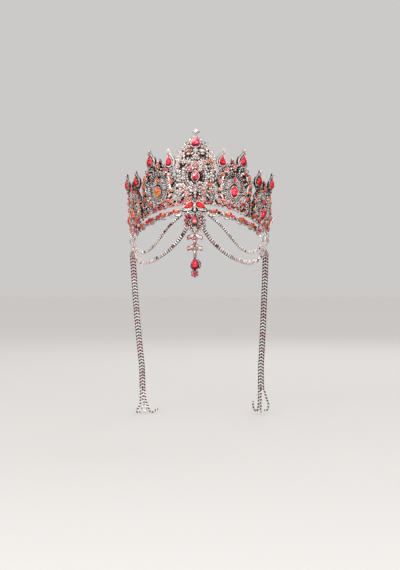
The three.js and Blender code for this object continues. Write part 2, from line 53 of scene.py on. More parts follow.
RIM_OUT = 0.9
RIM_LOOP = 3.2
EYE_RING = 1.9
EYE_WIRE = 0.6
EYE_BELOW = 2.7
LINKS_AT = {"front": 96.5, "back": 108}
SIDES = {"right": 1, "left": -1}
OUT = Vector((0, 0, 1))
chance = random.Random(31)


def on_ring(spot):
    """Bends the flat layout (along the rim, up the wall, outwards, in mm) to the crown's ring."""
    turn = spot[0] / RIM_RADIUS
    reach = RIM_RADIUS + spot[1] * sin(FLARE) + spot[2] * cos(FLARE)
    rise = spot[1] * cos(FLARE) - spot[2] * sin(FLARE)
    return LEAN @ Vector((reach * sin(turn), -reach * cos(turn), rise)) * MM


def as_hung(spot):
    """Leaves parts where they are and only brings millimetres to metres."""
    return Vector(spot) * MM


def rim_height(along):
    return -RIM_DIP * sin(along / RIM_RADIUS) ** 2


def taken(bm):
    """A finished small part: its corners in millimetres and its faces, to be laid many times.
    Both are put in order of place, so that every run numbers them alike."""
    bmesh.ops.remove_doubles(bm, verts=bm.verts, dist=1e-4)
    bmesh.ops.recalc_face_normals(bm, faces=bm.faces)
    verts = sorted(bm.verts, key=lambda vert: [round(part, 4) + 0.0 for part in vert.co])
    number = {vert: n for n, vert in enumerate(verts)}
    faces = []
    for face in bm.faces:
        loop = [number[vert] for vert in face.verts]
        first = loop.index(min(loop))
        faces.append(loop[first:] + loop[:first])
    corners = numpy.array([vert.co[:] for vert in verts])
    bm.free()
    return corners, sorted(faces)


OUT_OF_SHADE = 10.0
BACKWARDS = -0.3


class Heap:
    """Small parts of one finish, laid together flat before they are bent to shape."""

    def __init__(self):
        self.corners = []
        self.faces = []
        self.tints = []
        self.count = 0

    def lay(self, part, place=Matrix(), side=1, tints=(1, 1, 1)):
        """Adds a part, with one tint for all of it or a list of one for each face."""
        corners, faces = part
        turned = corners @ numpy.array(place.to_3x3()).T + numpy.array(place.translation)
        turned[:, 0] *= side
        order = 1 if place.to_3x3().determinant() * side > 0 else -1
        self.faces += [[corner + self.count for corner in face[::order]] for face in faces]
        self.tints += tints if isinstance(tints, list) else [tints] * len(faces)
        self.corners.append(turned)
        self.count += len(corners)

    def piece(self, name, finish, bend=on_ring, crease=None):
        """Makes the object: bent, with a colour for each face and each corner's height off the
        back, which the silver reads for its painted shade. Faces that look backwards count as proud and
        take none."""
        flat = numpy.concatenate(self.corners)
        mesh = bpy.data.meshes.new(name)
        mesh.from_pydata([bend(spot) for spot in flat.tolist()], [], self.faces)
        sizes = [len(face) for face in self.faces]
        colours = numpy.ones((len(sizes), 4))
        colours[:, :3] = self.tints
        tint = mesh.color_attributes.new("tint", "FLOAT_COLOR", "CORNER")
        tint.data.foreach_set("color", numpy.repeat(colours, sizes, axis=0).ravel())
        a, b, c = (flat[[face[n] for face in self.faces]] for n in range(3))
        facing = numpy.cross(b - a, c - a)
        behind = facing[:, 2] < BACKWARDS * numpy.linalg.norm(facing, axis=1)
        height = flat[numpy.concatenate(self.faces), 2]
        height[numpy.repeat(behind, sizes)] = OUT_OF_SHADE
        lift = mesh.attributes.new("lift", "FLOAT", "CORNER")
        lift.data.foreach_set("value", height)
        if crease is not None:
            mesh.shade_smooth()
            mesh.set_sharp_from_angle(angle=crease)
        mesh.materials.append(finish)
        return shown(name, mesh)


def shown(name, data):
    """Puts a mesh, a lamp or the camera in the scene."""
    made = bpy.data.objects.new(name, data)
    bpy.context.scene.collection.objects.link(made)
    return made


def off_ring(point):
    """The way back from the ring to the flat layout."""
    x, y, rise = LEAN.inverted() @ point / MM
    reach = hypot(x, y) - RIM_RADIUS
    up = reach * sin(FLARE) + rise * cos(FLARE)
    return Vector((RIM_RADIUS * atan2(x, -y), up, reach * cos(FLARE) - rise * sin(FLARE)))


def settle(piece, slot, *nodes, body="root"):
    """Every piece rides on a body and stands for its CAD nodes, which it hides. The slot is not used.
    """
    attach(piece, body)
    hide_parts(*nodes)


def flowing(points, between=4, closed=False):
    """A smooth path through points of two or three coordinates."""
    knots = [numpy.array([*point, 0][:3], dtype=float) for point in points]
    ends = (knots[-1:], knots[:2]) if closed else (knots[:1], knots[-1:])
    row = ends[0] + knots + ends[1]
    path = []
    for a, b, c, d in zip(row, row[1:], row[2:], row[3:]):
        for step in range(between):
            t = step / between
            curve = 2 * b + (c - a) * t + (2 * a - 5 * b + 4 * c - d) * t * t
            path.append(Vector((curve + (3 * b - a - 3 * c + d) * t ** 3) / 2))
    return path if closed else path + [Vector(knots[-1])]


def wire(path, thick, sides=8, flat=1.0, closed=False, front=OUT):
    """A wire drawn along a path; thick is its half width, for the whole wire or for each stop."""
    bm = bmesh.new()
    count = len(path)
    halves = [thick] * count if isinstance(thick, (int, float)) else thick
    loops = []
    for stop, spot in enumerate(path):
        before = path[stop - 1] if stop or closed else spot
        after = path[(stop + 1) % count] if stop < count - 1 or closed else spot
        way = (after - before).normalized()
        across = front.cross(way).normalized()
        up = way.cross(across)
        half = halves[stop]
        turn = Matrix((across * half, up * half * flat, way)).transposed().to_4x4()
        circle = bmesh.ops.create_circle(
            bm, segments=sides, radius=1, matrix=Matrix.Translation(spot) @ turn
        )
        loops.append(list(dict.fromkeys(e for vert in circle["verts"] for e in vert.link_edges)))
    for near, far in zip(loops, loops[1:]):
        bmesh.ops.bridge_loops(bm, edges=near + far)
    if closed:
        bmesh.ops.bridge_loops(bm, edges=loops[-1] + loops[0])
    else:
        bmesh.ops.edgeloop_fill(bm, edges=loops[0])
        bmesh.ops.edgeloop_fill(bm, edges=loops[-1])
    return taken(bm)


def ring(radius, thick, stops=20, sides=8, stretch=1.0):
    """A closed round wire about the Z axis, longer along Y by stretch."""
    turns = [2 * pi * n / stops for n in range(stops)]
    path = [Vector((radius * cos(a), radius * stretch * sin(a), 0)) for a in turns]
    return wire(path, thick, sides=sides, closed=True)


def add(tree, kind, inputs, **settings):
    """Adds a shader node. Each input is given a value or another node's output."""
    made = tree.nodes.new(f"ShaderNode{kind}")
    for name, value in settings.items():
        setattr(made, name, value)
    for socket, given in inputs.items():
        if isinstance(given, bpy.types.NodeSocket):
            tree.links.new(given, made.inputs[socket])
        else:
            made.inputs[socket].default_value = given
    return made


def effect(name, inputs, outputs):
    """An empty node group with named inputs and outputs of the kinds given."""
    group = bpy.data.node_groups.new(name, "ShaderNodeTree")
    for way, sockets in (("INPUT", inputs), ("OUTPUT", outputs)):
        for socket, kind in sockets.items():
            group.interface.new_socket(socket, in_out=way, socket_type=f"NodeSocket{kind}")
    return group, group.nodes.new("NodeGroupInput").outputs


def give(group, **results):
    """Links what a group puts out."""
    result = group.nodes.new("NodeGroupOutput")
    for socket, output in results.items():
        group.links.new(output, result.inputs[socket])
    return group


def plated_silver():
    """Polished plate with painted shade: dark where it lies low off the back, between and
    under the settings, brighter where it is proud; a random noise tone stands for wear.
    """
    group, given = effect(
        "plated_silver",
        {"Recess At": "Float", "Proud At": "Float", "Grain Scale": "Float", "Bright": "Color",
         "Dark": "Color"},
        {"Color": "Color", "Roughness": "Float", "Height": "Float"},
    )
    where = add(group, "TexCoord", {}).outputs["Object"]
    lift = add(group, "Attribute", {}, attribute_name="lift").outputs["Fac"]
    # Painted shade: the lower a corner lies off the back, the nearer its colour is to Dark.
    edges = {"Value": lift, "From Min": given["Recess At"], "From Max": given["Proud At"]}
    proud = add(group, "MapRange", edges, interpolation_type="SMOOTHSTEP").outputs["Result"]
    cloud = add(group, "TexNoise", {"Vector": where, "Scale": 260, "Detail": 3}).outputs["Fac"]
    worn = {"Value": cloud, "From Min": 0.3, "From Max": 0.7, "To Min": 0.55, "To Max": 1.0}
    spread = add(group, "MapRange", worn).outputs["Result"]
    # The painted shade times the random noise tone for wear.
    shade_and_wear = add(group, "Math", {0: proud, 1: spread}, operation="MULTIPLY").outputs[0]
    shades = {"Factor": shade_and_wear, "A": given["Dark"], "B": given["Bright"]}
    colour = add(group, "Mix", shades, data_type="RGBA").outputs["Result"]
    tint = add(group, "Attribute", {}, attribute_name="tint").outputs["Color"]
    toned = add(group, "VectorMath", {0: colour, 1: tint}, operation="MULTIPLY")
    rough = add(group, "MapRange", {"Value": shade_and_wear, "To Min": 0.42, "To Max": 0.13})
    grain = add(group, "TexNoise", {"Vector": where, "Scale": given["Grain Scale"], "Detail": 2})
    return give(group, Color=toned.outputs["Vector"], Roughness=rough.outputs["Result"],
                Height=grain.outputs["Fac"])


def finish(name, constants, group, values):
    """A material: the shader's own constants, and an effect that gives it colour and gloss."""
    material = bpy.data.materials.new(name)
    material.use_nodes = True
    tree = material.node_tree
    shader = tree.nodes["Principled BSDF"]
    for socket, value in constants.items():
        shader.inputs[socket].default_value = value
    made = add(tree, "Group", values, node_tree=group)
    tree.links.new(made.outputs["Color"], shader.inputs["Base Color"])
    tree.links.new(made.outputs["Roughness"], shader.inputs["Roughness"])
    return material, made, shader


PLATED_SILVER = plated_silver()
GRAIN_SCALE = 900
GRAIN_DEEP = 0.0002


def silver(name, bright, dark, recess_at, proud_at, metallic=1.0):
    shades = {"Bright": (*bright, 1), "Dark": (*dark, 1)}
    wear = {"Recess At": recess_at, "Proud At": proud_at, "Grain Scale": GRAIN_SCALE}
    material, plate, shader = finish(name, {"Metallic": metallic}, PLATED_SILVER, shades | wear)
    tree = material.node_tree
    grain = {"Strength": 0.15, "Distance": GRAIN_DEEP, "Height": plate.outputs["Height"]}
    tree.links.new(add(tree, "Bump", grain).outputs["Normal"], shader.inputs["Normal"])
    return material


# SILVER_DARK is painted shade, fading between RECESS_AT and PROUD_AT off the back; ALWAYS_PROUD keeps a
# finish clear of it.
SILVER_BRIGHT = (0.81, 0.70, 0.66)
SILVER_DARK = (0.022, 0.014, 0.014)
ALWAYS_PROUD = (-1000, -999)
RECESS_AT = 1.35
PROUD_AT = 2.15
drawn_silver = silver("drawn_silver_wire", SILVER_BRIGHT, SILVER_DARK, *ALWAYS_PROUD)
cast_silver = silver("cast_silver", SILVER_BRIGHT, SILVER_DARK, RECESS_AT, PROUD_AT)
CREASE = radians(40)
UPRIGHT = Matrix.Rotation(pi / 2, 4, "X")
EDGEWAYS = Matrix.Rotation(pi / 2, 4, "Y")


def rim_spot(along, below=0):
    return Vector(on_ring((along, rim_height(along) - below, RIM_OUT))) / MM


rim = Heap()
rim_stops = 88
rim_path = [rim_spot(RIM_END * (2 * n / rim_stops - 1)) for n in range(rim_stops + 1)]
rim.lay(wire(rim_path, RIM_WIRE, sides=10))
for side in SIDES.values():
    end_loop = Matrix.Translation(rim_spot(side * (RIM_END + RIM_LOOP)))
    rim.lay(ring(RIM_LOOP, RIM_WIRE, stops=28, sides=10), end_loop @ EDGEWAYS)
    for along in LINKS_AT.values():
        turn = Matrix.Rotation(side * along / RIM_RADIUS, 4, "Z")
        eye = Matrix.Translation(rim_spot(side * along, EYE_BELOW)) @ turn
        rim.lay(ring(EYE_RING, EYE_WIRE, stops=18), eye @ UPRIGHT)
settle(rim.piece("rim_wire_drawn", drawn_silver, as_hung, CREASE), "silver", "rim_wire")


# ---- Centre panel ----
# The tall middle casting: an ogive of flowers and leaves round a pavé oval, open between its
# bands. Stones are glued and clawed in cups, and small ones are set in rows between beads.
PEAR_FULL = 1.24
PEAR_TAPER = 1.3


def round_outline(a):
    return Vector((-sin(a), cos(a), 0))


def pear_outline(a):
    return Vector((-PEAR_FULL * sin(a) * abs(sin(a / 2)) ** PEAR_TAPER, cos(a), 0))


def navette_outline(a):
    side = 1 - cos(a) ** 2
    return Vector((-side if sin(a) > 0 else side, cos(a), 0))


OUTLINES = {"round": round_outline, "oval": round_outline, "pear": pear_outline,
            "navette": navette_outline, "lozenge": round_outline}


def built_up(outline, sides, levels):
    """A solid on an outline a unit across each half; a level is its share of the outline and
    its height, from the back to the front."""
    bm = bmesh.new()
    bmesh.ops.create_circle(bm, cap_ends=True, segments=sides, radius=1)
    share, up = levels[0]
    for vert in bm.verts:
        vert.co = outline(atan2(-vert.co.x, vert.co.y) % (2 * pi)) * share + OUT * up
    top = bm.faces[:]
    tiers = []
    for next_share, next_up in levels[1:]:
        grown = bmesh.ops.extrude_face_region(bm, geom=top)["geom"]
        top = [item for item in grown if isinstance(item, bmesh.types.BMFace)]
        edge = list(dict.fromkeys(vert for face in top for vert in face.verts))
        bmesh.ops.scale(bm, vec=(next_share / share, next_share / share, 1), verts=edge)
        bmesh.ops.translate(bm, vec=(0, 0, next_up - up), verts=edge)
        share, up = next_share, next_up
        around = dict.fromkeys(face for vert in edge for face in vert.link_faces)
        tiers.append([face for face in around if face not in top])
    return bm, tiers, top


STONE_LEVELS = [(0.45, -0.6), (1.0, -0.06), (1.0, 0.06), (0.84, 0.55), (0.56, 1.0)]
SMALL_STONE_LEVELS = [(0.5, -0.5), (1.0, 0.0), (0.6, 1.0)]
CUP_LEVELS = [(0.72, 0.0), (0.9, 0.55), (1.0, 0.9), (1.0, 1.0), (0.85, 1.0), (0.8, 0.6)]
LEAF_LEVELS = [(0.92, 0.0), (1.0, 0.45), (0.6, 0.85), (0.14, 1.0)]


def cut_stone(outline, sides):
    """A faceted stone: culet, girdle, two rows of crown facets and a slightly crowned table."""
    bm, tiers, top = built_up(outline, sides, STONE_LEVELS)
    bmesh.ops.poke(bm, faces=tiers[-1] + tiers[-2], offset=0.03)
    bmesh.ops.poke(bm, faces=top, offset=0.05)
    return taken(bm)


def plain_part(outline, sides, levels):
    return taken(built_up(outline, sides, levels)[0])


def bead(facets):
    bm = bmesh.new()
    bmesh.ops.create_icosphere(bm, subdivisions=facets, radius=1)
    return taken(bm)


STONES = {kind: cut_stone(outline, 14) for kind, outline in OUTLINES.items()}
STONES["lozenge"] = cut_stone(round_outline, 4)
CUPS = {kind: plain_part(outline, 14, CUP_LEVELS) for kind, outline in OUTLINES.items()}
CUPS["lozenge"] = plain_part(round_outline, 4, CUP_LEVELS)
SMALL_STONE = plain_part(round_outline, 8, SMALL_STONE_LEVELS)
SMALL_CUP = plain_part(round_outline, 8, CUP_LEVELS)
PETAL = plain_part(pear_outline, 8, [(0.5, -0.4), (1.0, 0.0), (0.72, 0.7), (0.4, 1.0)])
PETAL_CUP = plain_part(pear_outline, 8, [(0.8, 0.0), (1.0, 0.8), (1.0, 1.0), (0.85, 1.0)])
LEAF = plain_part(navette_outline, 12, LEAF_LEVELS)
GROUND = plain_part(round_outline, 6, [(1.0, 0.0), (1.0, 1.0)])
BEAD = bead(1)
BALL = bead(2)
CLAW = wire(flowing([(0.2, 0, -0.9), (0.3, 0, 0), (0.1, 0, 0.7), (-0.5, 0, 1.05)], 2),
            [0.34, 0.33, 0.32, 0.3, 0.28, 0.26, 0.22], sides=6, front=Vector((0, 1, 0)))

# What each colour of glass is cut from, and its colour.
COLOURS = {
    "clear": ("clear_stone", (0.92, 0.86, 0.83)),
    "blush": ("clear_stone", (0.94, 0.68, 0.64)),
    "smoke": ("clear_stone", (0.36, 0.32, 0.31)),
    "pink": ("coral_stone", (1.0, 0.42, 0.40)),
    "peach": ("coral_stone", (1.0, 0.46, 0.25)),
    "coral": ("coral_stone", (1.0, 0.19, 0.09)),
    "orange": ("coral_stone", (1.0, 0.13, 0.02)),
    "amber": ("coral_stone", (1.0, 0.46, 0.04)),
    "scarlet": ("red_stone", (0.95, 0.008, 0.012)),
    "red": ("red_stone", (0.92, 0.015, 0.05)),
    "rose": ("red_stone", (0.90, 0.045, 0.11)),
    "magenta": ("red_stone", (0.68, 0.01, 0.08)),
    "garnet": ("red_stone", (0.22, 0.003, 0.01)),
}


def facet_tints(colour, count):
    """Painted reflections of the foil behind a cut stone: some facets painted bright, others dark,
    a few flashed to white as painted highlights.
    """
    tints = []
    whole = chance.uniform(0.8, 1.3)
    for _ in range(count):
        throw = chance.random()
        level = whole * (0.25 + 1.1 * throw)
        flash = 0.4 if throw > 0.92 else 0.0
        tints.append(tuple(min(1, level * part) * (1 - flash) + flash * (0.4 + 0.6 * part)
                           for part in colour))
    return tints


def placed(spot, turn=0.0, size=1.0):
    """Where a part goes: its spot, its turn and its half size, alike or for each way."""
    sizes = (size,) * 3 if isinstance(size, (int, float)) else size
    move = Matrix.Translation(spot) @ Matrix.Rotation(turn, 4, "Z")
    return move @ Matrix.Diagonal((*sizes, 1))


def paces(path, pitch, closed=False):
    """Even steps along a path, each with its way forwards and its way across."""
    row = path + path[:1] if closed else path
    lengths = [(b - a).length for a, b in zip(row, row[1:])]
    total = sum(lengths)
    count = max(1, round(total / pitch))
    step = total / count
    steps = []
    passed = 0.0
    at = 0.0 if closed else step / 2
    for a, b, length in zip(row, row[1:], lengths):
        while at < passed + length and len(steps) < count:
            way = (b - a).normalized()
            steps.append((a.lerp(b, (at - passed) / length), way, OUT.cross(way).normalized()))
            at += step
        passed += length
    return steps


SHEET_SHARE = 0.45
SHEET_BACK = 0.2
# Heights off the back for the sheet: its front takes the full painted shade, its back part of it.
FRONT_SHADE_LIFT = 1.12
BACK_SHADE_LIFT = 1.7


def backplate(node, unbend=off_ring, bend=on_ring):
    """The pierced sheet behind a casting, thinned from the node's own outline: partly in painted
    shade behind, and dark with full painted shade in front, between the settings."""
    bm = bmesh.new()
    bm.from_mesh(bpy.data.objects[node].data)
    bmesh.ops.remove_doubles(bm, verts=bm.verts, dist=1e-6)
    flat = [unbend(vert.co) for vert in bm.verts]
    back = min(spot.z for spot in flat)
    lift = bm.verts.layers.float.new("lift")
    for vert, spot in zip(bm.verts, flat):
        vert[lift] = BACK_SHADE_LIFT if spot.z < back + SHEET_BACK else FRONT_SHADE_LIFT
        spot.z = back + (spot.z - back) * SHEET_SHARE
        vert.co = bend(spot)
    tint = bm.loops.layers.float_color.new("tint")
    for face in bm.faces:
        for corner in face.loops:
            corner[tint] = (1, 1, 1, 1)
    bmesh.ops.recalc_face_normals(bm, faces=bm.faces)
    mesh = bpy.data.meshes.new(f"{node}_sheet")
    bm.to_mesh(mesh)
    bm.free()
    mesh.materials.append(cast_silver)
    settle(shown(mesh.name, mesh), "silver", node)


def within(edge, s, h):
    """Whether a place lies inside an edge: a line from it crosses the edge an odd number of times."""
    crossed = False
    for (a, b), (c, d) in zip(edge, edge[1:] + edge[:1]):
        if (b > h) != (d > h) and s < a + (c - a) * (h - b) / (d - b):
            crossed = not crossed
    return crossed


def grounds(edge, bare, pitch, sway, rows, rise):
    """Places in staggered rows inside an edge, apart from the ovals kept bare, each a little off."""
    low, top = min(h for _, h in edge), max(h for _, h in edge)
    left, right = min(s for s, _ in edge), max(s for s, _ in edge)
    for level in range(int((top - low) / pitch * rows)):
        for place in range(int((right - left) / pitch) + 1):
            s = left + (place + 0.5 * (level % 2) + chance.uniform(-sway, sway)) * pitch
            h = low + (level + 0.5 + chance.uniform(-sway, sway)) * pitch * rise
            kept = any(hypot((s - a) / wide, (h - b) / high) < 1 for a, b, wide, high in bare)
            if within(edge, s, h) and not kept:
                yield s, h


def raised(path, out):
    return [Vector((spot.x, spot.y, out)) for spot in path]


def swelling(path, least, more, start=0.0, share=1.0):
    """Half widths along a path that swell from the least by so much more in the middle."""
    last = len(path) - 1
    return [least + more * sin(pi * (start + share * n / last)) for n in range(last + 1)]


SPECKLE = 0.6
SPECKLE_TONES = [(1, 1, 1), (1, 0.9, 0.88), (1, 0.8, 0.78), (0.45, 0.07, 0.09), (0.12, 0.03, 0.04)]
STONE_TILT = 0.14
CUP_FOOT = 0.3
RIB_OUT = 0.05
CURL_THICK = 0.5
CURL_OUT = 1.3


class Setting:
    """One casting with what is set in it: a heap of metal and a heap for each glass. Its own
    place along and up is added to all that is laid in it."""

    def __init__(self, side=1, nod=0.0, shift=0.0, rise=0.0):
        self.metal = Heap()
        self.glass = {slot: Heap() for slot in ("clear_stone", "coral_stone", "red_stone")}
        self.side = side
        self.nod = nod
        self.move = Matrix.Translation((shift, rise, 0))
        self.claimed = []

    def put(self, part, s, h, out, turn=0.0, size=1.0, tints=(1, 1, 1)):
        """Adds a small part to the metal."""
        self.metal.lay(part, self.move @ placed((s, h, out), turn, size), self.side, tints)

    def draw(self, path, thick, out, sides=8, flat=1.0, closed=False):
        """Adds a wire or bar to the metal, at one height off the back."""
        part = wire(raised(path, out), thick, sides, flat, closed)
        self.metal.lay(part, self.move, self.side)

    def claim(self, s, h, wide, high=None, turn=0.0):
        """Keeps the ground under a setting for it alone."""
        high = high or wide
        short = min(wide, high)
        count = max(1, round(2 * max(wide, high) / short) - 1)
        lie = turn if high >= wide else turn + pi / 2
        for n in range(count):
            along = (n - (count - 1) / 2) * short * 0.5
            self.claimed.append((s - sin(lie) * along, h + cos(lie) * along, short / 2))

    def free(self, s, h, reach):
        return all(hypot(s - a, h - b) > c + reach for a, b, c in self.claimed)

    def fill(self, edge, pitch, colours, bare=()):
        """Packs the rest of the casting inside an edge, apart from the ovals kept bare, with small
        stones, leaves and beads that touch on a ground of low discs, dark with painted shade."""
        for s, h in grounds(edge, bare, pitch, sway=0.16, rows=1.15, rise=0.87):
            self.put(GROUND, s, h, 0.15, 0, (pitch * 0.66, pitch * 0.66, 0.4))
            if not self.free(s, h, pitch * 0.3):
                continue
            throw = chance.random()
            if throw < 0.6:
                wide = pitch * chance.uniform(0.72, 0.95)
                self.small(s, h, wide, chance.choice(colours), chance.uniform(1.5, 1.9))
            elif throw < 0.86:
                self.leaf(s, h, pitch * 0.75, pitch * 1.35, chance.uniform(0, pi), 1.2)
            else:
                self.ball(s, h, pitch * 0.33)

    def speckle(self, edge, pitch, bare=()):
        """Small beads of metal wherever the ground inside an edge is still bare."""
        for s, h in grounds(edge, bare, pitch, sway=0.2, rows=1, rise=1):
            if self.free(s, h, SPECKLE * 0.4):
                size = SPECKLE * chance.uniform(0.7, 1.25)
                self.put(BEAD, s, h, 1.4, 0, size, chance.choice(SPECKLE_TONES))

    def teeth(self, path, long, wide, pitch, out):
        """Short bars across a closed path, like the points of a serrated bezel."""
        for spot, _, across in paces(path, pitch, closed=True):
            lie = atan2(-across.x, across.y)
            self.put(BALL, spot.x, spot.y, out, lie, (wide / 2, long / 2, 0.65))

    def ragged(self, path, pitch, colours, out=2.5):
        """A rough edge: stones of mixed sizes and short leaves that overlap along a path."""
        for spot, _, _ in paces(path, pitch):
            s = spot.x + chance.uniform(-0.3, 0.3) * pitch
            h = spot.y + chance.uniform(-0.8, 0.8)
            throw = chance.random()
            if throw < 0.35:
                wide = chance.uniform(2.3, 3.0)
                self.gem("round", s, h, wide, colour=chance.choice(colours), seat=out, claws=3)
            elif throw < 0.65:
                self.small(s, h, chance.uniform(1.6, 2.2), chance.choice(colours), out)
            else:
                long = chance.uniform(3.0, 4.4)
                self.leaf(s, h, 1.7, long, chance.uniform(0.5, 2.6), 1.2, out - 0.7)

    def stone(self, part, colour, s, h, seat, turn, size):
        """No two stones sit quite level, so each catches the light in its own way."""
        slot, base = COLOURS[colour]
        tints = facet_tints(base, len(part[1]))
        across = Matrix.Rotation(chance.uniform(-STONE_TILT, STONE_TILT) - self.nod, 4, "X")
        along = Matrix.Rotation(chance.uniform(-STONE_TILT, STONE_TILT), 4, "Y")
        middle = Matrix.Translation((s, h, seat))
        place = self.move @ middle @ across @ along @ placed((0, 0, 0), turn, size)
        self.glass[slot].lay(part, place, self.side, tints)

    def clawed(self, kind, s, h, wide, high, turn, seat, claws, size, ahead=0.0):
        """Claws round a stone, each bent over its girdle."""
        for n in range(claws):
            spot = OUTLINES[kind](2 * pi * (n + ahead) / claws)
            foot = Vector((spot.x * wide / 2, spot.y * high / 2, 0))
            lie = atan2(foot.y, foot.x)
            foot.rotate(Matrix.Rotation(turn, 3, "Z"))
            self.put(CLAW, s + foot.x, h + foot.y, seat, turn + lie, size)

    def gem(self, kind, s, h, wide, high=None, turn=0.0, colour="clear", seat=2.2, claws=4):
        """A cut stone in its cup, whose foot swells behind; claws fold over its girdle."""
        high = high or wide
        short = min(wide, high)
        self.claim(s, h, wide, high, turn)
        size = (wide / 2, high / 2, min(0.5 * short, 2.4))
        self.stone(STONES[kind], colour, s, h, seat, turn, size)
        rim = 0.32 if short > 3 else 0.22
        self.put(CUPS[kind], s, h, CUP_FOOT, turn, (wide / 2 + rim, high / 2 + rim, seat - 0.2))
        self.put(BALL, s, h, 0.1, turn, (wide * 0.44, high * 0.44, 0.7))
        ahead = 0.5 if kind in ("round", "oval") else 0
        self.clawed(kind, s, h, wide + 0.2, high + 0.2, turn, seat, claws, 0.55 + 0.05 * short, ahead)

    def large(self, kind, s, h, wide, high, turn=0.0, claws=6, seat=2.3):
        """The cup and claws of a large stone, which is a piece of its own."""
        self.put(CUPS[kind], s, h, 0.2, turn, (wide / 2 + 0.5, high / 2 + 0.5, seat + 0.1))
        self.put(BALL, s, h, 0.1, turn, (wide * 0.4, high * 0.38, 0.9))
        self.clawed(kind, s, h, wide + 0.3, high + 0.3, turn, seat + 0.1, claws, 1.15)

    def small(self, s, h, wide, colour="clear", seat=1.5):
        """A small round stone in a plain cup."""
        self.claim(s, h, wide)
        self.stone(SMALL_STONE, colour, s, h, seat, 0, (wide / 2, wide / 2, wide * 0.3))
        self.put(SMALL_CUP, s, h, CUP_FOOT, 0, (wide / 2 + 0.2, wide / 2 + 0.2, seat - 0.2))

    def ball(self, s, h, radius, out=1.4):
        self.put(BALL, s, h, out, 0, radius)

    def strap(self, path, half, out=0.9, closed=False):
        """A flat bar of the casting along a path, and a rib behind it, so low it is dark with painted
        shadow.
        """
        self.draw(path, half, out, flat=0.6 / half, closed=closed)
        self.draw(path, half * 0.7, RIB_OUT, sides=6, flat=0.8, closed=closed)

    def rod(self, points, thick, out=1.2, tip=0.5):
        """A scroll: a round bar, thick in its middle, that thins towards both ends."""
        path = flowing(points)
        self.draw(path, swelling(path, thick * tip, thick * (1 - tip)), out, sides=6)

    def curl(self, s, h, size, turn=0.0, hand=1):
        """A C-scroll that winds in to a ball."""
        stops = 12
        path = []
        for n in range(stops):
            t = n / (stops - 1)
            a = turn + hand * 1.5 * pi * t
            reach = size * (1 - 0.68 * t)
            path.append(Vector((s + reach * cos(a), h + reach * sin(a), 0)))
        self.draw(path, [CURL_THICK * (1 - 0.4 * n / stops) for n in range(stops)], CURL_OUT, sides=6)
        self.ball(path[-1].x, path[-1].y, CURL_THICK * 1.35, CURL_OUT)

    def leaf(self, s, h, wide, long, turn=0.0, thick=1.1, out=0.8):
        self.claim(s, h, wide, long, turn)
        self.put(LEAF, s, h, out, turn, (wide / 2, long / 2, thick))

    def crescent(self, points, wide, out=1.0):
        """A leaf bent along a path, with a row of small clear stones down its middle."""
        path = flowing(points, 5)
        self.draw(path, swelling(path, 0.12, wide / 2, 0.08, 0.84), out, flat=0.55)
        for spot, _, _ in paces(path, wide * 0.62)[1:-1]:
            self.small(spot.x, spot.y, wide * 0.5, seat=out + wide * 0.26)

    def blade(self, points, wide, out=1.4):
        """A plain polished leaf bent along a path, with a raised middle."""
        path = flowing(points, 5)
        self.draw(path, swelling(path, 0.15, wide / 2, 0.06, 0.86), out, flat=0.7)

    def row(self, path, wide, pitch, colours, seat=1.6, closed=False):
        """Small stones side by side, with a bead in each notch between them."""
        for spot, way, across in paces(path, pitch, closed):
            self.claim(spot.x, spot.y, wide)
            size = (wide / 2, wide / 2, wide * 0.34)
            self.stone(SMALL_STONE, chance.choice(colours), spot.x, spot.y, seat, 0, size)
            for hand in (-1, 1):
                notch = spot + way * pitch / 2 + across * hand * wide * 0.42
                self.put(BEAD, notch.x, notch.y, seat + 0.2, 0, 0.3)

    def bloom(self, s, h, wide, petals=5, colour="blush", heart="clear", turn=0.0, seat=1.9):
        """A flower: a pear stone for each petal round a small heart."""
        self.claim(s, h, wide * 0.9)
        half_wide, half_long, reach = wide * 0.17, wide * 0.21, wide * 0.3
        for n in range(petals):
            a = turn + 2 * pi * n / petals
            spot = (s - sin(a) * reach, h + cos(a) * reach)
            size = (half_wide, half_long, wide * 0.13)
            self.stone(PETAL, colour, *spot, seat, a + pi, size)
            self.put(PETAL_CUP, *spot, 0.4, a + pi, (half_wide + 0.2, half_long + 0.2, seat - 0.3))
        self.small(s, h, wide * 0.26, heart, seat + 0.35)

    def pieces(self, name, *nodes, bend=on_ring, body="root"):
        """The casting and each kind of stone as pieces that stand for the same CAD nodes."""
        made = self.metal.piece(f"{name}_casting", cast_silver, bend, CREASE)
        settle(made, "silver", *nodes, body=body)
        for slot, heap in self.glass.items():
            if heap.count:
                made = heap.piece(f"{name}_{slot}s", GLASS[slot], bend)
                settle(made, slot, *nodes, body=body)


def cut_glass():
    """Foil-backed glass: each facet's painted reflection from its tint, softly clouded by wear."""
    group, given = effect("cut_glass", {"Haze": "Float"}, {"Color": "Color", "Roughness": "Float"})
    tint = add(group, "Attribute", {}, attribute_name="tint").outputs["Color"]
    where = add(group, "TexCoord", {}).outputs["Object"]
    swirl = add(group, "TexNoise", {"Vector": where, "Scale": 420, "Detail": 2}).outputs["Fac"]
    clouded = {"Value": swirl, "From Min": 0.3, "From Max": 0.7, "To Min": 0.7, "To Max": 1.15}
    level = add(group, "MapRange", clouded).outputs["Result"]
    shade = add(group, "VectorMath", {0: tint, "Scale": level}, operation="SCALE")
    haze = {0: swirl, 1: given["Haze"], 2: 0.03}
    rough = add(group, "Math", haze, operation="MULTIPLY_ADD")
    return give(group, Color=shade.outputs["Vector"], Roughness=rough.outputs[0])


CUT_GLASS = cut_glass()


def glass(name, metallic, haze, coat):
    constants = {"Metallic": metallic, "IOR": 1.5, "Coat Weight": coat, "Coat Roughness": 0.02}
    return finish(name, constants, CUT_GLASS, {"Haze": haze})[0]


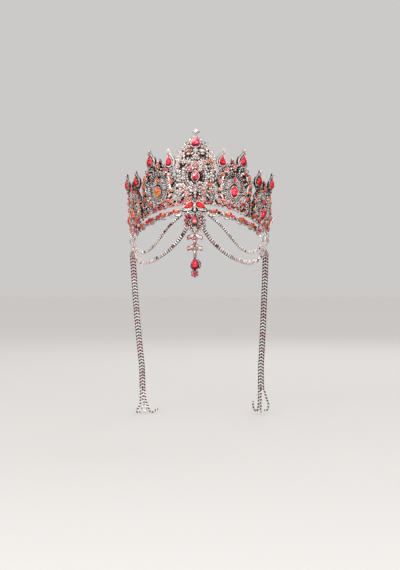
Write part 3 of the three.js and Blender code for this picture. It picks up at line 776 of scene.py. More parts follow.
GLASS = {
    "clear_stone": glass("clear_cut_glass", 0.3, 0.1, 0.8),
    "coral_stone": glass("coral_cut_glass", 0.5, 0.1, 0.2),
    "red_stone": glass("red_cut_glass", 0.7, 0.08, 0.15),
}


def oval_path(s, h, half_wide, half_high, stops=40, start=0.0, turn=2 * pi):
    turns = [start + turn * n / stops for n in range(stops)]
    return [Vector((s + half_wide * cos(a), h + half_high * sin(a), 0)) for a in turns]


def foot_path(start, end, above, step=3.0):
    """A path that follows the rim, above it by so much."""
    count = max(2, round((end - start) / step))
    stops = [start + (end - start) * n / count for n in range(count + 1)]
    return [Vector((s, rim_height(s) + above, 0)) for s in stops]


MEDALLION_H = 29.8
MEDALLION_PAVE = ["clear"] * 6 + ["blush"] * 4 + ["smoke"] * 2 + ["rose", "garnet"]
MEDALLION_ROWS = [(13.5, 16.0), (11.0, 13.5), (8.5, 11.0)]

centre = Setting()
for half_wide, half_high in MEDALLION_ROWS:
    path = oval_path(0, MEDALLION_H, half_wide, half_high)
    centre.strap(path, 1.3, 1.05, closed=True)
    if half_wide < 13:
        centre.row(path, 2.25, 2.6, MEDALLION_PAVE, 1.8, closed=True)
    else:
        centre.ragged(path + path[:1], 2.3, MEDALLION_PAVE, 1.9)
for start in (0.3, 1.3):
    path = oval_path(0, MEDALLION_H, 6.3, 9.4, 14, pi * start, pi * 0.4)
    centre.strap(path, 1.1, 1.05)
    centre.row(path, 2.1, 2.4, MEDALLION_PAVE, 1.8)
for s, h, wide, shade in (
    (4.3, 6.9, 3.4, "blush"), (-4.3, 6.9, 3.2, "rose"), (4.2, -7.2, 2.8, "clear"),
    (-4.2, -7.2, 2.8, "clear"),
):
    centre.gem("round", s, MEDALLION_H + h, wide, colour=shade, claws=3)
centre.strap(foot_path(-19.5, 19.5, 2.5), 1.1)
for s, h, wide, shade in (
    (0, 15.2, 3.4, "clear"), (0, 11.2, 2.8, "clear"), (0, 7.6, 2.2, "blush"),
    (0, 58.4, 4.2, "clear"), (0, 62.0, 2.4, "blush"),
):
    centre.gem("round", s, h, wide, colour=shade)
centre.bloom(0, 42.8, 7.6, 5, "pink", "blush", seat=2.4)
centre.bloom(0, 51.6, 6.0, 6, "clear", "rose", 0.2)
centre.ball(0, 75.3, 0.95, 2.0)
centre.rod([(0, 73), (0, 76), (0, 79)], 0.8, 1.2, 0.9)
centre.rod([(0, 2.5), (0, 8), (0, 13)], 0.9, 1.0, 0.9)
centre.rod([(0, 48), (0, 56), (0, 64)], 0.9, 1.0, 0.9)

CENTRE_STONES = [
    ("navette", 6.4, 57.8, 4.0, 6.6, 1.25, ("blush", "coral")),
    ("navette", 16.2, 47.2, 3.6, 6.6, 0.35, ("coral", "blush")),
    ("round", 17.4, 41.6, 3.2, None, 0, ("peach", "pink")),
    ("navette", 17.6, 36.2, 2.8, 5.2, 0.1, ("peach", "clear")),
    ("round", 17.8, 30.6, 2.6, None, 0, ("clear", "clear")),
    ("round", 17.9, 26.2, 2.6, None, 0, ("peach", "clear")),
    ("navette", 14.6, 20.6, 4.2, 7.0, -1.1, ("coral", "clear")),
    ("round", 18.2, 20.4, 3.4, None, 0, ("blush", "clear")),
    ("navette", 8.6, 15.9, 3.2, 6.4, 1.1, ("pink", "pink")),
    ("round", 4.4, 13.4, 2.4, None, 0, ("clear", "clear")),
    ("round", 4.7, 39.4, 3.5, None, 0, ("blush", "pink")),
    ("pear", 4.2, 6.0, 3.4, 4.8, 0.3, ("coral", "coral")),
    ("round", 12.6, 8.6, 2.2, None, 0, ("clear", "clear")),
    ("round", 7.6, 9.6, 2.0, None, 0, ("garnet", "rose")),
]
OGIVE = [(18.6, 3.4), (19.2, 20), (18.2, 38), (15.2, 50), (10.4, 60), (5.2, 66)]
# White leaves that fan out round the two leaf-shaped holes: along, up, wide, long, turn.
CENTRE_LEAVES = [
    (3.0, 55.4, 2.4, 5.0, 0.9), (7.0, 54.8, 2.3, 6.4, 1.45), (11.2, 52.4, 2.3, 5.4, 0.5),
    (3.4, 49.4, 2.2, 5.2, -0.9), (7.4, 50.0, 1.8, 5.0, 1.6), (11.4, 49.2, 2.2, 4.6, 1.0),
    (5.2, 70.2, 2.2, 6.6, 0.25), (10.9, 60.2, 2.4, 4.6, 0.9), (16.4, 52.4, 2.2, 4.6, -0.5),
    (12.0, 17.6, 2.2, 5.4, -0.5), (5.0, 17.8, 2.2, 4.8, -0.7), (3.4, 66.4, 2.0, 5.2, 0.8),
    (12.6, 9.6, 2.2, 5.0, 1.0), (4.8, 10.2, 2.0, 4.8, 0.9), (16.6, 17.0, 2.0, 4.8, 0.2),
]
CENTRE_EDGE = [(0.6, 2.8), (20.4, 2.8), (20.6, 20), (19.4, 36), (16.2, 50), (11.2, 60.2), (6.4, 66),
               (0.6, 66)]
# Leaf tips that stand out past the edge: along, up, long, turn.
EDGE_LEAVES = [
    (10.4, 65.4, 5.2, -0.75), (12.8, 61.6, 4.4, -1.3), (16.0, 56.8, 5.4, -0.8), (17.8, 52.4, 4.4, -1.4),
    (18.9, 48.4, 5.6, -0.8), (19.6, 43.0, 4.8, -1.25), (19.9, 38.4, 4.8, -0.7),
]
BASE_TOP = 22
# No beads are strewn over the foot: along, up, half width, half height.
CENTRE_FOOT = (5.2, 1.3, 30, 6.5)
centre.claim(0, MEDALLION_H, 12, 17)
centre.claim(0, 67.5, 9, 12)
for side in SIDES.values():
    centre.side = side
    for kind, s, h, wide, high, turn, shades in CENTRE_STONES:
        shade = shades[0] if side > 0 else shades[1]
        centre.gem(kind, s, h, wide, high, turn, shade, claws=4 if kind != "round" else 3)
    centre.strap(flowing(OGIVE), 0.9)
    centre.rod([(s - 1.3, h) for s, h in OGIVE[1:]], 0.45, 1.5, 0.8)
    centre.bloom(6.4, 46.2, 5.8, 5, "blush", "clear", 0.5)
    centre.bloom(11.6, 46.8, 5.4, 5, "peach" if side > 0 else "clear", "blush", 0.1)
    centre.bloom(8.4, 63.9, 6.2, 4, "blush", "pink", 0.3)
    centre.bloom(13.4, 54.4, 6.4, 5, "blush", "clear", 0.9)
    centre.bloom(17.8, 6.6, 7.6, 5, "smoke", "smoke", 0.2)
    centre.bloom(9.0, 4.6, 6.0, 5, "rose" if side < 0 else "blush", "red", 0.5)
    centre.bloom(16.6, 13.4, 6.6, 5, "pink" if side > 0 else "blush", "rose", 0.4)
    centre.bloom(9.2, 11.2, 6.2, 5, "pink", "red", 0.8)
    for h in (25.4, 28.2, 31.0, 33.8, 36.6):
        centre.small(15.7, h, 2.2, "clear")
    for s, h, wide, long, turn in CENTRE_LEAVES:
        centre.leaf(s, h, wide, long, turn, 1.3, 1.0)
    centre.curl(14.6, 8.8, 2.6, 0.4, 1)
    centre.curl(7.0, 12.2, 2.2, 2.4, -1)
    centre.curl(9.6, 61.6, 1.8, -0.6, 1)
    for s, h in ((6.2, 62.4), (3.2, 63.4), (10.8, 58.6), (14.9, 50.4), (15.6, 24.8), (10.2, 18.9)):
        centre.small(s, h, 1.9, "clear")
    centre.small(19.2, 11.6, 2.0, "clear")
    centre.small(14.9, 16.7, 2.0, "blush")
for side in SIDES.values():
    centre.side = side
    warm = ["peach", "coral", "coral", "pink"] if side > 0 else ["pink", "blush", "blush", "coral"]
    shades = ["clear"] * 6 + ["blush"] * 3 + ["garnet"] * 3 + ["rose"] * 2 + warm
    centre.fill(CENTRE_EDGE[3:] + [(0.6, BASE_TOP), (20.6, BASE_TOP)], 2.9, shades)
    base = [(0.6, 2.8), (20.4, 2.8), (20.6, BASE_TOP), (0.6, BASE_TOP)]
    centre.fill(base, 2.9, shades + ["rose", "magenta", "coral", "pink", "pink"])
    centre.speckle(CENTRE_EDGE, 1.6, [CENTRE_FOOT])
    for s, h, long, turn in EDGE_LEAVES:
        centre.leaf(s, h, 2.3, long, turn, 1.2, 1.5)
centre.side = 1
FOOT_SHADES = ["clear"] * 2 + ["blush", "garnet", "garnet", "rose", "magenta", "coral", "orange", "red"]
centre.row(foot_path(-19.5, 19.5, 2.8), 1.9, 2.3, FOOT_SHADES)
centre.ragged(foot_path(-20, 20, 0.2), 2.1, FOOT_SHADES)
centre.pieces("centre_panel", "centre_panel")
backplate("centre_panel")


# Bands of a large stone's facets for its painted flash, painted shade and painted highlights.
FLASH_BAND = (0.1, 0.75)
SHADED_FOOT_FROM = 0.55
HIGHLIGHT_FROM = 0.12


def large_stone(node, kind, s, h, wide, high, turn, colour, side=1, seat=2.3, rise=2.6,
                bend=on_ring, body="root", lower_flash=None, pale=None, foot=0.4):
    """A large stone is a piece of its own, because it is a node of its own. Its facets take painted
    light: painted shade near the foot, or a painted flash of another colour there, and painted
    highlights above on the left."""
    slot, base = COLOURS[colour]
    corners, faces = STONES[kind]
    tints = facet_tints(base, len(faces))
    for n, face in enumerate(faces):
        low = -sum(corners[corner][1] for corner in face) / len(face)
        left = -side * sum(corners[corner][0] for corner in face) / len(face)
        # Painted light by where a facet lies: a painted flash low down, painted shade at the foot,
        # painted highlights up on the left.
        if lower_flash and FLASH_BAND[0] < low < FLASH_BAND[1] and n % 3:
            tints[n] = facet_tints(COLOURS[lower_flash][1], 1)[0]
        elif low > SHADED_FOOT_FROM:
            tints[n] = tuple(part * foot for part in tints[n])
        elif pale and 0.6 * left - 0.8 * low > HIGHLIGHT_FROM and n % 4:
            tints[n] = facet_tints(COLOURS[pale][1], 1)[0]
    heap = Heap()
    heap.lay(STONES[kind], placed((s, h, seat), turn, (wide / 2, high / 2, rise)), side, tints)
    settle(heap.piece(f"{node}_cut", GLASS[slot], bend), slot, node, body=body)


finial = Setting()
finial.large("pear", 0, 68.6, 10, 14)
finial.large("navette", 0, MEDALLION_H, 7.6, 13.8)
finial.large("lozenge", 0, 79.4, 5.6, 7.0, claws=4)
settle(finial.metal.piece("centre_cups", cast_silver, crease=CREASE), "silver", "centre_panel")
large_stone("finial_pear", "pear", 0, 68.6, 10, 14, 0, "rose",
            pale="pink")
large_stone("finial_tip", "lozenge", 0, 79.4, 5.6, 7.0, 0, "clear", rise=2.2)
large_stone("centre_navette", "navette", 0, MEDALLION_H, 7.6, 13.8, 0, "rose",
            pale="pink")


# ---- Side panels ----
# Two castings of one design each side: a double pavé ring round a drop-shaped red stone, coloured
# stones and leaves on scrolls round it, and two spires with a pear stone on top.
# kind, along, up, wide, high, turn, colour on the right, colour on the left
SIDE_STONES = [
    ("round", 53.4, 38.9, 4.2, None, 0, "orange", "red"),
    ("navette", 58.4, 34.8, 4.0, 6.8, 0.7, "coral", "coral"),
    ("navette", 61.2, 27.0, 4.0, 6.6, 0.0, "coral", "orange"),
    ("round", 60.8, 19.2, 4.2, None, 0, "coral", "orange"),
    ("navette", 58.6, 11.4, 4.0, 6.4, -0.5, "orange", "orange"),
    ("round", 64.4, 6.6, 3.6, None, 0, "orange", "coral"),
    ("navette", 54.4, 4.6, 3.4, 6.2, 1.3, "red", "coral"),
    ("navette", 32.0, 39.6, 4.0, 6.4, -0.8, "coral", "red"),
    ("round", 27.4, 33.2, 4.4, None, 0, "coral", "pink"),
    ("navette", 24.8, 25.6, 4.0, 6.4, -0.1, "coral", "orange"),
    ("round", 24.4, 16.4, 4.2, None, 0, "peach", "amber"),
    ("round", 25.4, 10.6, 3.2, None, 0, "coral", "coral"),
    ("navette", 30.4, 4.4, 3.6, 6.6, 1.2, "coral", "coral"),
    ("round", 37.2, -0.4, 3.6, None, 0, "magenta", "magenta"),
    ("navette", 45.4, -1.2, 3.2, 5.8, 1.4, "red", "coral"),
    ("round", 37.8, 49.8, 3.2, None, 0, "magenta", "rose"),
    ("round", 49.0, 24.6, 2.4, None, 0, "magenta", "blush"),
    ("round", 35.2, 25.4, 2.4, None, 0, "rose", "magenta"),
]
# Along, up, wide, long, turn.
SIDE_LEAVES = [
    (55.6, 32.2, 2.3, 6.4, 0.9), (57.6, 23.0, 2.3, 6.2, 0.2), (62.8, 22.8, 1.9, 4.4, -0.9),
    (56.6, 15.4, 2.1, 5.4, -0.2), (62.4, 14.6, 2.0, 4.8, 0.7), (61.6, 8.4, 2.0, 4.4, -0.9),
    (29.8, 36.2, 2.2, 5.6, -0.9), (27.8, 28.8, 2.2, 6.0, -0.1), (22.6, 21.0, 1.9, 4.6, 0.8),
    (27.6, 20.6, 2.0, 5.4, 0.1), (22.8, 12.6, 1.8, 4.2, 0.6), (28.6, 12.4, 2.0, 5.0, 0.5),
    (34.8, 44.6, 1.9, 5.4, -0.5), (44.4, 47.0, 2.0, 5.8, 0.6), (50.2, 6.8, 1.9, 4.6, 1.1),
    (33.6, 5.6, 1.9, 4.6, -1.1), (41.2, 0.4, 1.8, 4.2, 1.57), (50.0, -0.4, 1.8, 4.2, 1.3),
]
# Along, up, size, turn, which way round.
SIDE_CURLS = [
    (63.2, 31.2, 2.0, 3.6, -1), (23.0, 29.8, 1.9, 0.4, 1), (56.2, 41.6, 2.2, 2.8, -1),
    (63.6, 12.0, 1.8, 3.6, 1), (30.6, 44.4, 2.2, 0.4, 1), (45.2, 43.4, 2.2, 2.4, -1),
]
SIDE_SMALL = [
    (55.9, 28.0, "clear"), (57.4, 18.6, "blush"), (55.4, 9.4, "clear"), (58.2, 7.0, "clear"),
    (29.4, 24.8, "clear"), (28.4, 16.6, "blush"), (29.2, 8.6, "clear"), (41.0, 40.6, "clear"),
    (36.4, 41.2, "clear"), (46.2, 40.6, "clear"), (33.6, 35.6, "blush"), (48.6, 35.4, "clear"),
]
SIDE_STONE_SIZE = 0.9
OUTER_STONE_SIZE = 0.75
RING_AT = 41
RING_LOW = 1.5
RING_TOP = 39.5
RING_HALF = 14.2
RING_PAVE = ["clear"] * 4 + ["blush"] * 3 + ["rose", "garnet", "garnet"]
OVAL_AT = 41.6
OVAL_SIZE = (8.2, 13)
NAVETTE_SIZE = (3.8, 6.6)
SIDE_FOOT = 2.4
SIDE_EDGE = [(21.2, -16), (21.0, 14), (21.4, 27), (25.0, 36.4), (30.6, 42), (35.6, 46.4), (40, 49),
             (45, 46), (52, 43), (60, 37.8), (64.2, 28), (65.0, 15), (65.6, -16)]
SIDE_FILL = ["clear"] * 6 + ["blush"] * 3 + ["garnet"] * 3
SPIRE_WIDE = 8
SPIRE_HIGH = 12
# How far each panel stands along and up, its spires' stones, and where it has no small filling:
# along, up, half width, half height.
PANELS = {
    "inner": (0, 0, [(27, 48.4), (49.5, 52.4)], (41, 13.2, 20.5, 18)),
    "outer": (46, -13.5, [(27.4, 49.2), (53, 54.6)], (41.6, 19.7, 3.1, 9.4)),
}


class SidePanel(Setting):
    """A side casting, laid out where the inner one stands; the outer one is moved from there."""

    def __init__(self, side, shift, rise):
        super().__init__(side, shift=shift, rise=rise)
        self.offset = Vector((shift, rise, 0))
        low = self.over(RING_AT, RING_LOW, 0.2)
        self.middle = (low + RING_TOP) / 2
        self.half_tall = (RING_TOP - low) / 2
        self.oval_h = max(16.6, low + 10.6)
        self.navette_h = max(29.2, low + 23.4)

    def over(self, s, h, gap):
        """A height, or the lowest that clears the foot by a gap where the foot is in the way."""
        return max(h, rim_height(s + self.offset.x) - self.offset.y + SIDE_FOOT + gap)

    def own(self, path):
        """A path that is laid out where the panel stands, in the panel's own places."""
        return [spot - self.offset for spot in path]

    def along_foot(self, start, end, above):
        return self.own(foot_path(start + self.offset.x, end + self.offset.x, above))

    def in_ring(self, shrink, *stops):
        """An oval inside the ring's outline."""
        middle = (RING_AT + self.offset.x, self.middle + self.offset.y)
        return self.own(oval_path(*middle, RING_HALF - shrink, self.half_tall - shrink, *stops))

    def ring_and_foot(self):
        """Two ropes with small stones on and between them, and the foot that sits on the rim."""
        outer_rope, inner_rope = self.in_ring(0.6, 48), self.in_ring(2.9, 48)
        self.strap(outer_rope, 0.8, 0.8, closed=True)
        self.row(outer_rope, 2.2, 2.85, RING_PAVE, 1.9, True)
        self.strap(inner_rope, 0.8, 0.8, closed=True)
        self.teeth(inner_rope, 2.3, 1.5, 2.1, 1.6)
        self.strap(self.in_ring(1.7), 1.5, 0.5, closed=True)
        self.row(self.in_ring(1.7, 40, pi * 0.9, pi * 1.2), 1.9, 2.4, RING_PAVE, 1.9)
        self.teeth(self.in_ring(4.9), 2.8, 1.35, 2.2, 1.3)
        self.strap(self.in_ring(4.9), 0.5, 0.8, closed=True)
        self.strap(self.along_foot(22.8, 64.6, 2.4), 1.1)
        self.row(self.along_foot(23.4, 64, 2.9), 1.9, 2.3, FOOT_SHADES)
        self.ragged(self.along_foot(22.4, 65, 0.0), 2.1, FOOT_SHADES)

    def inside_ring(self):
        """The seats of the oval stone, with its beaded bezel and rays, and of the navette."""
        self.large("oval", OVAL_AT, self.oval_h - 0.8, *OVAL_SIZE)
        bezel = oval_path(OVAL_AT, self.oval_h, 5.5, 8.7)
        for spot, _, _ in paces(bezel, 1.5, closed=True):
            self.put(BEAD, spot.x, spot.y, 1.7, 0, 0.62)
        self.strap(bezel, 0.6, 1.0, closed=True)
        rays = 20
        half_wide, half_high = RING_HALF - 4.6, self.half_tall - 4.6
        for n in range(rays):
            a = 2 * pi * (n + 0.5) / rays
            s, h = OVAL_AT + 7.5 * cos(a), self.oval_h + 10.9 * sin(a)
            if hypot((s - RING_AT) / half_wide, (h - self.middle) / half_high) < 1:
                self.leaf(s, h, 1.7, 3.8, atan2(-11 * cos(a), 7.5 * sin(a)), 1.1, 1.0)
            between = a + pi / rays
            self.ball(OVAL_AT + 6.1 * cos(between), self.oval_h + 9.4 * sin(between), 0.6, 1.5)
        self.large("navette", OVAL_AT, self.navette_h, *NAVETTE_SIZE, claws=2, seat=2.0)
        self.rod([(OVAL_AT, self.navette_h + 3), (OVAL_AT, RING_TOP - 3)], 0.7, 1.0, 0.9)
        for lean in (-1, 1):
            self.leaf(OVAL_AT + 3.2 * lean, self.navette_h - 0.6, 1.9, 5.4, -0.35 * lean)
            self.curl(OVAL_AT + 4.8 * lean, self.navette_h - 5.2, 2.3, 1.2, lean)
            brace = [(RING_AT + 10.6 * lean, self.middle + 3), (OVAL_AT + 5.4 * lean, self.oval_h + 5)]
            self.rod(brace, 0.6)
            self.small(OVAL_AT + 6.6 * lean, self.oval_h + 7.0, 2.0)

    def scrolls(self):
        """A scroll down each side of the ring with leaves along it, and posts up from the foot."""
        outer = [(49.6, 39.6), (56.4, 37.8), (60.6, 29), (59.6, 16), (56, self.over(56, 6, 1))]
        inner = [(33, 40.4), (28.4, 36), (25.6, 26), (25.8, 14), (28.6, self.over(29, 6, 1))]
        for scroll, inward in ((outer, -1.6), (inner, 1.6)):
            self.strap(flowing(scroll), 0.8)
            beside = [(s + inward, h - 0.8) for s, h in scroll]
            self.strap(flowing(beside), 0.75)
            for (s, h), (next_s, next_h) in zip(beside, beside[1:]):
                belly = ((s + next_s) / 2 - inward * 0.2, (h + next_h) / 2)
                self.blade([(s, h - 0.6), belly, (next_s, next_h + 0.6)], 2.5, 1.5)
        for s in (30, 35.5, 46.5, 52):
            self.rod([(s, self.over(s, -RIM_DIP, 0)), (s, self.over(s, 6, 2.5))], 0.8, 0.9, 0.9)

    def set_stones(self, size):
        """The coloured stones round the ring, and the leaves, curls and small stones by them."""
        for kind, s, h, wide, high, turn, right, left in SIDE_STONES:
            shade = right if self.side > 0 else left
            h = self.over(s, h, 1.2)
            self.gem(kind, s, h, wide * size, high and high * size, turn, shade, claws=3)
        for s, h, wide, long, turn in SIDE_LEAVES:
            self.leaf(s, self.over(s, h, 1.4), wide, long, turn)
        for s, h, reach, turn, hand in SIDE_CURLS:
            self.curl(s, self.over(s, h, 2), reach, turn, hand)
        for s, h, shade in SIDE_SMALL:
            self.small(s, self.over(s, h, 1.6), 2.1, shade)

    def keep_ring(self, whole):
        """Keeps the whole ring free of filling, or only its band."""
        if whole:
            self.claim(RING_AT, self.middle, 2 * RING_HALF + 1, 2 * self.half_tall + 1)
        else:
            for spot, _, _ in paces(self.in_ring(1.7), 2.4, True):
                self.claim(spot.x, spot.y, 4.2)

    def flowers(self):
        """Coral flowers along the foot and one at the ring's top, under a leaf."""
        self.bloom(40.2, 44.6, 6.8, 5, "coral", "orange")
        for s, h, turn in ((25.4, 4.4, 0.3), (36.2, 3.2, 0.9), (52.0, 3.4, 0.6)):
            shade = "orange" if s < 30 and self.side > 0 else "coral"
            self.bloom(s, self.over(s, h, 1.6), 5.4, 5, shade, "red", turn, 2.3)
        self.rod([(40.6, 39), (39.4, 46), (37.8, 50)], 0.7, 1.0, 0.9)
        self.small(37.2, 52.4, 1.5, "clear", 2.0)
        self.leaf(39.4, 48.4, 1.6, 4.0, -0.6)

    def spire(self, s, h, foot_s, foot_h):
        """A stem, a pear in claws, a leaf up one side, small stones above and a fork below."""
        stem = [(foot_s, foot_h), ((foot_s + s) / 2 + 0.6, 40.6), (s, h - 5)]
        self.strap(flowing(stem), 1.0)
        self.large("pear", s, h, SPIRE_WIDE, SPIRE_HIGH, claws=5)
        leaf = [(-2.8, -7.4), (-5.0, -3.2), (-4.9, 1.8), (-2.6, 6.4), (-0.8, 10.4)]
        self.crescent([(s + a, h + b) for a, b in leaf], 2.3, 1.3)
        scroll = [(2.8, -8.2), (4.6, -4.8), (4.5, -1.2)]
        self.rod([(s + a, h + b) for a, b in scroll], 0.55, 1.3, 0.4)
        self.small(s - 1.3, h + 7.6, 1.9, "clear", 2.0)
        self.small(s + 1.2, h + 8.4, 1.8, "rose", 2.0)
        self.small(s - 0.6, h + 9.9, 1.8, "pink", 2.0)
        self.gem("round", s + 0.2, h + 11.8, 3.1, claws=3)
        self.rod([(s, h + 5.6), (s, h + 9), (s, h + 12)], 0.7, 1.0, 0.9)
        self.gem("round", s + 0.4, h - 8.9, 2.8, colour="garnet", claws=3)
        self.leaf(s - 2.6, h - 9.6, 1.9, 4.4, 0.7)
        self.leaf(s + 3.0, h - 10.2, 1.9, 4.4, -0.7)


for panel_name, (shift, rise, spires, bare) in PANELS.items():
    is_inner = panel_name == "inner"
    for side_name, side in SIDES.items():
        panel = SidePanel(side, shift, rise)
        panel.ring_and_foot()
        panel.inside_ring()
        panel.scrolls()
        panel.set_stones(SIDE_STONE_SIZE if is_inner else OUTER_STONE_SIZE)
        panel.keep_ring(is_inner)
        panel.flowers()
        for s, h in spires:
            panel.claim(s, h, SPIRE_WIDE + 1, SPIRE_HIGH + 1)
        edge = [(s, panel.over(s, h, 0.4)) for s, h in SIDE_EDGE]
        warm = ["peach" if side > 0 else "pink", "coral", "rose", "orange"]
        panel.fill(edge, 2.6, SIDE_FILL + warm, [bare])
        panel.speckle(edge, 1.6, [bare])
        for spot, foot in zip(spires, ((34, 38), (47.5, 37.6))):
            panel.spire(*spot, *foot)
        name = f"{panel_name}_panel_{side_name}"
        panel.pieces(name, name)
        backplate(name)
        for n, (s, h) in enumerate(spires):
            large_stone(f"{panel_name}_spire_pear_{n + 1}_{side_name}", "pear", s + shift, h + rise,
                        SPIRE_WIDE, SPIRE_HIGH, 0, "red" if is_inner else "scarlet", side)
        large_stone(f"{panel_name}_oval_stone_{side_name}", "oval", OVAL_AT + shift,
                    panel.oval_h + rise - 0.8, *OVAL_SIZE, 0, "red" if side > 0 else "coral", side,
                    lower_flash="amber" if is_inner and side < 0 else None)
        large_stone(f"{panel_name}_navette_{side_name}", "navette", OVAL_AT + shift,
                    panel.navette_h + rise, *NAVETTE_SIZE, 0, "red" if side > 0 else "orange",
                    side, seat=2.0, rise=1.8)


# ---- End pieces ----
# A small casting behind each outer panel, by the ear: a dark red pear and a leaf that stands up
# like a spike, on a foot along the rim. A bent point of plated wire reaches out over its front.
POINT_STOPS = [(114.2, -8.0, 1.0), (113.4, -3.6, 2.4), (113.0, 1.6, 4.4), (113.6, 7.4, 6.8)]
for side_name, side in SIDES.items():
    end = Setting(side)
    end.strap(foot_path(113, RIM_END - 1, 2.4), 1.1)
    end.ragged(foot_path(112.6, RIM_END - 2, 1.0), 1.9, FOOT_SHADES)
    end.large("pear", 118, 5, 6.6, 9.6, claws=5)
    end.crescent([(122.4, -4), (124.8, 2), (125.2, 9), (123.4, 17.4)], 3.2)
    end.strap(flowing([(118, -9.6), (118.4, -5), (118, 0)]), 1.1)
    end.strap(flowing([(124.4, -9.6), (124.2, -6), (123.4, -1)]), 1.0)
    end.rod([(118, -3), (121.4, -1.4), (123.4, 2.4)], 0.7)
    point = flowing(POINT_STOPS, 5)
    end.metal.lay(wire(point, swelling(point, 0.25, 1.25, 0.1, 0.84), flat=0.7), side=side)
    end.gem("round", 114.4, -6.2, 3.0, colour="red", claws=3)
    end.gem("round", 121.4, -5.4, 2.6, colour="clear", claws=3)
    end.small(118, 11.2, 1.9, "clear", 2.0)
    end.small(118.6, 13.2, 1.7, "rose", 2.0)
    end.rod([(118, 8), (118, 11), (118.6, 13)], 0.6, 1.0, 0.9)
    end.curl(121.2, -8.0, 1.7, 0.6, 1)
    name = f"end_piece_{side_name}"
    end.pieces(name, name)
    backplate(name)
    node = f"end_pear_{side_name}"
    large_stone(node, "pear", 118, 5, 6.6, 9.6, 0, "red", side)


# ---- Bow ----
# Two bright red pears, tips outwards and down, over the middle of the rim. Pavé leaves curl under
# them from a ball, and the pendant hangs behind the knot.
BOW_OUT = 2.3
BOW_TURN = -2.02
bow = Setting()
bow_lift = BOW_OUT + 0.3


def on_bow(spot):
    return on_ring((spot[0], spot[1], spot[2] + bow_lift))


for side in SIDES.values():
    bow.side = side
    bow.large("pear", 6.5, -3.2, 7.4, 12.6, BOW_TURN, claws=5, seat=2.0)
    bow.crescent([(1.6, -6.0), (5.0, -7.3), (9.6, -7.8), (14.2, -8.6)], 3.5)
    bow.crescent([(2.2, -8.8), (5.4, -10.2), (8.8, -10.4)], 1.9)
    bow.gem("round", 14.0, -10.9, 2.8, colour="clear", claws=3)
    bow.small(3.2, 0.8, 1.8, "clear", 1.6)
    bow.small(11.6, -10.6, 1.7, "blush", 1.6)
bow.side = 1
bow.gem("round", 0, -3.4, 3.6, colour="clear")
bow.gem("round", 0, -8.2, 2.6, colour="clear", claws=3)
bow.leaf(0, -5.8, 3.4, 8.0, 0)
bow.pieces("bow", "bow_mount", bend=on_bow)
backplate("bow_mount")
for side_name, side in SIDES.items():
    node = f"bow_pear_{side_name}"
    large_stone(node, "pear", 6.5, -3.2, 7.4, 12.6, BOW_TURN, "scarlet", side,
                seat=2.0, rise=2.4, bend=on_bow)


# ---- Forehead strips ----
# A narrow chain of clawed stones under the rim on each side: navettes and small dark rounds in
# turn, with white leaves below them. It is hung from the rim by a post at its outer end.
STRIP_DROP = 8
STRIP_ENDS = (13, 88)
STRIP_POST = 85
STRIP_STONES = [19.5, 26.2, 36, 42.4, 52.5, 58.9, 68.5, 74.7, 84]
STRIP_SHADES = {
    "right": ["coral", "garnet", "orange", "magenta", "orange", "red", "orange", "garnet", "rose"],
    "left": ["coral", "magenta", "orange", "rose", "red", "red", "coral", "garnet", "rose"],
}
STRIP_MATES = ["red", "amber", "scarlet"]


def across_strip(s):
    """The turn of a part that stands square to the rim's slope."""
    return atan2(rim_height(s + 1) - rim_height(s - 1), 2) + pi / 2


for side_name, side in SIDES.items():
    strip = Setting(side)
    strip.strap(foot_path(*STRIP_ENDS, -STRIP_DROP, 4.2), 0.9, 1.0)
    post = [(STRIP_POST, rim_height(STRIP_POST) - below) for below in (STRIP_DROP, 4, 1.5)]
    strip.rod(post, 0.8, 1.0, 0.9)
    for n, s in enumerate(STRIP_STONES):
        h = rim_height(s) - STRIP_DROP
        lie = across_strip(s)
        shade = STRIP_SHADES[side_name][n]
        if n % 2:
            strip.gem("round", s, h, 4.4, colour=shade, seat=2.4)
            strip.leaf(s + 1.0, h - 3.4, 2.0, 4.6, lie + 0.5, 1.3, 1.2)
            strip.gem("round", s - 2.6, h + 2.4, 2.2, colour="garnet", claws=3, seat=2.2)
        else:
            strip.gem("navette", s, h + 0.3, 4.4, 7.6, lie - 0.12, shade, 2.4)
            strip.blade([(s - 4.4, h - 2.2), (s - 1.0, h - 4.0), (s + 3.6, h - 3.5)], 2.4)
            strip.gem("round", s + 3.6, h + 2.4, 2.4, colour=STRIP_MATES[n % 3], claws=3, seat=2.2)
            strip.leaf(s - 2.6, h + 2.6, 1.6, 3.6, lie + 0.3, 1.2, 1.2)
        if n:
            link = (s + STRIP_STONES[n - 1]) / 2
            mid = rim_height(link) - STRIP_DROP
            lie = across_strip(link)
            if n % 2:
                strip.small(link, mid + 0.8, 2.0, "red", 2.0)
                strip.small(link + 0.4, mid - 1.9, 1.9, "clear", 2.0)
            else:
                strip.small(link, mid + 0.2, 2.1, "clear", 2.2)
                strip.leaf(link - 1.2, mid + 1.7, 2.0, 4.4, lie - 0.5, 1.3, 1.2)
                strip.leaf(link + 1.2, mid - 1.7, 2.2, 4.8, lie + 0.4, 1.3, 1.2)
    name = f"forehead_strip_{side_name}"
    strip.pieces(name, name)
    backplate(name)


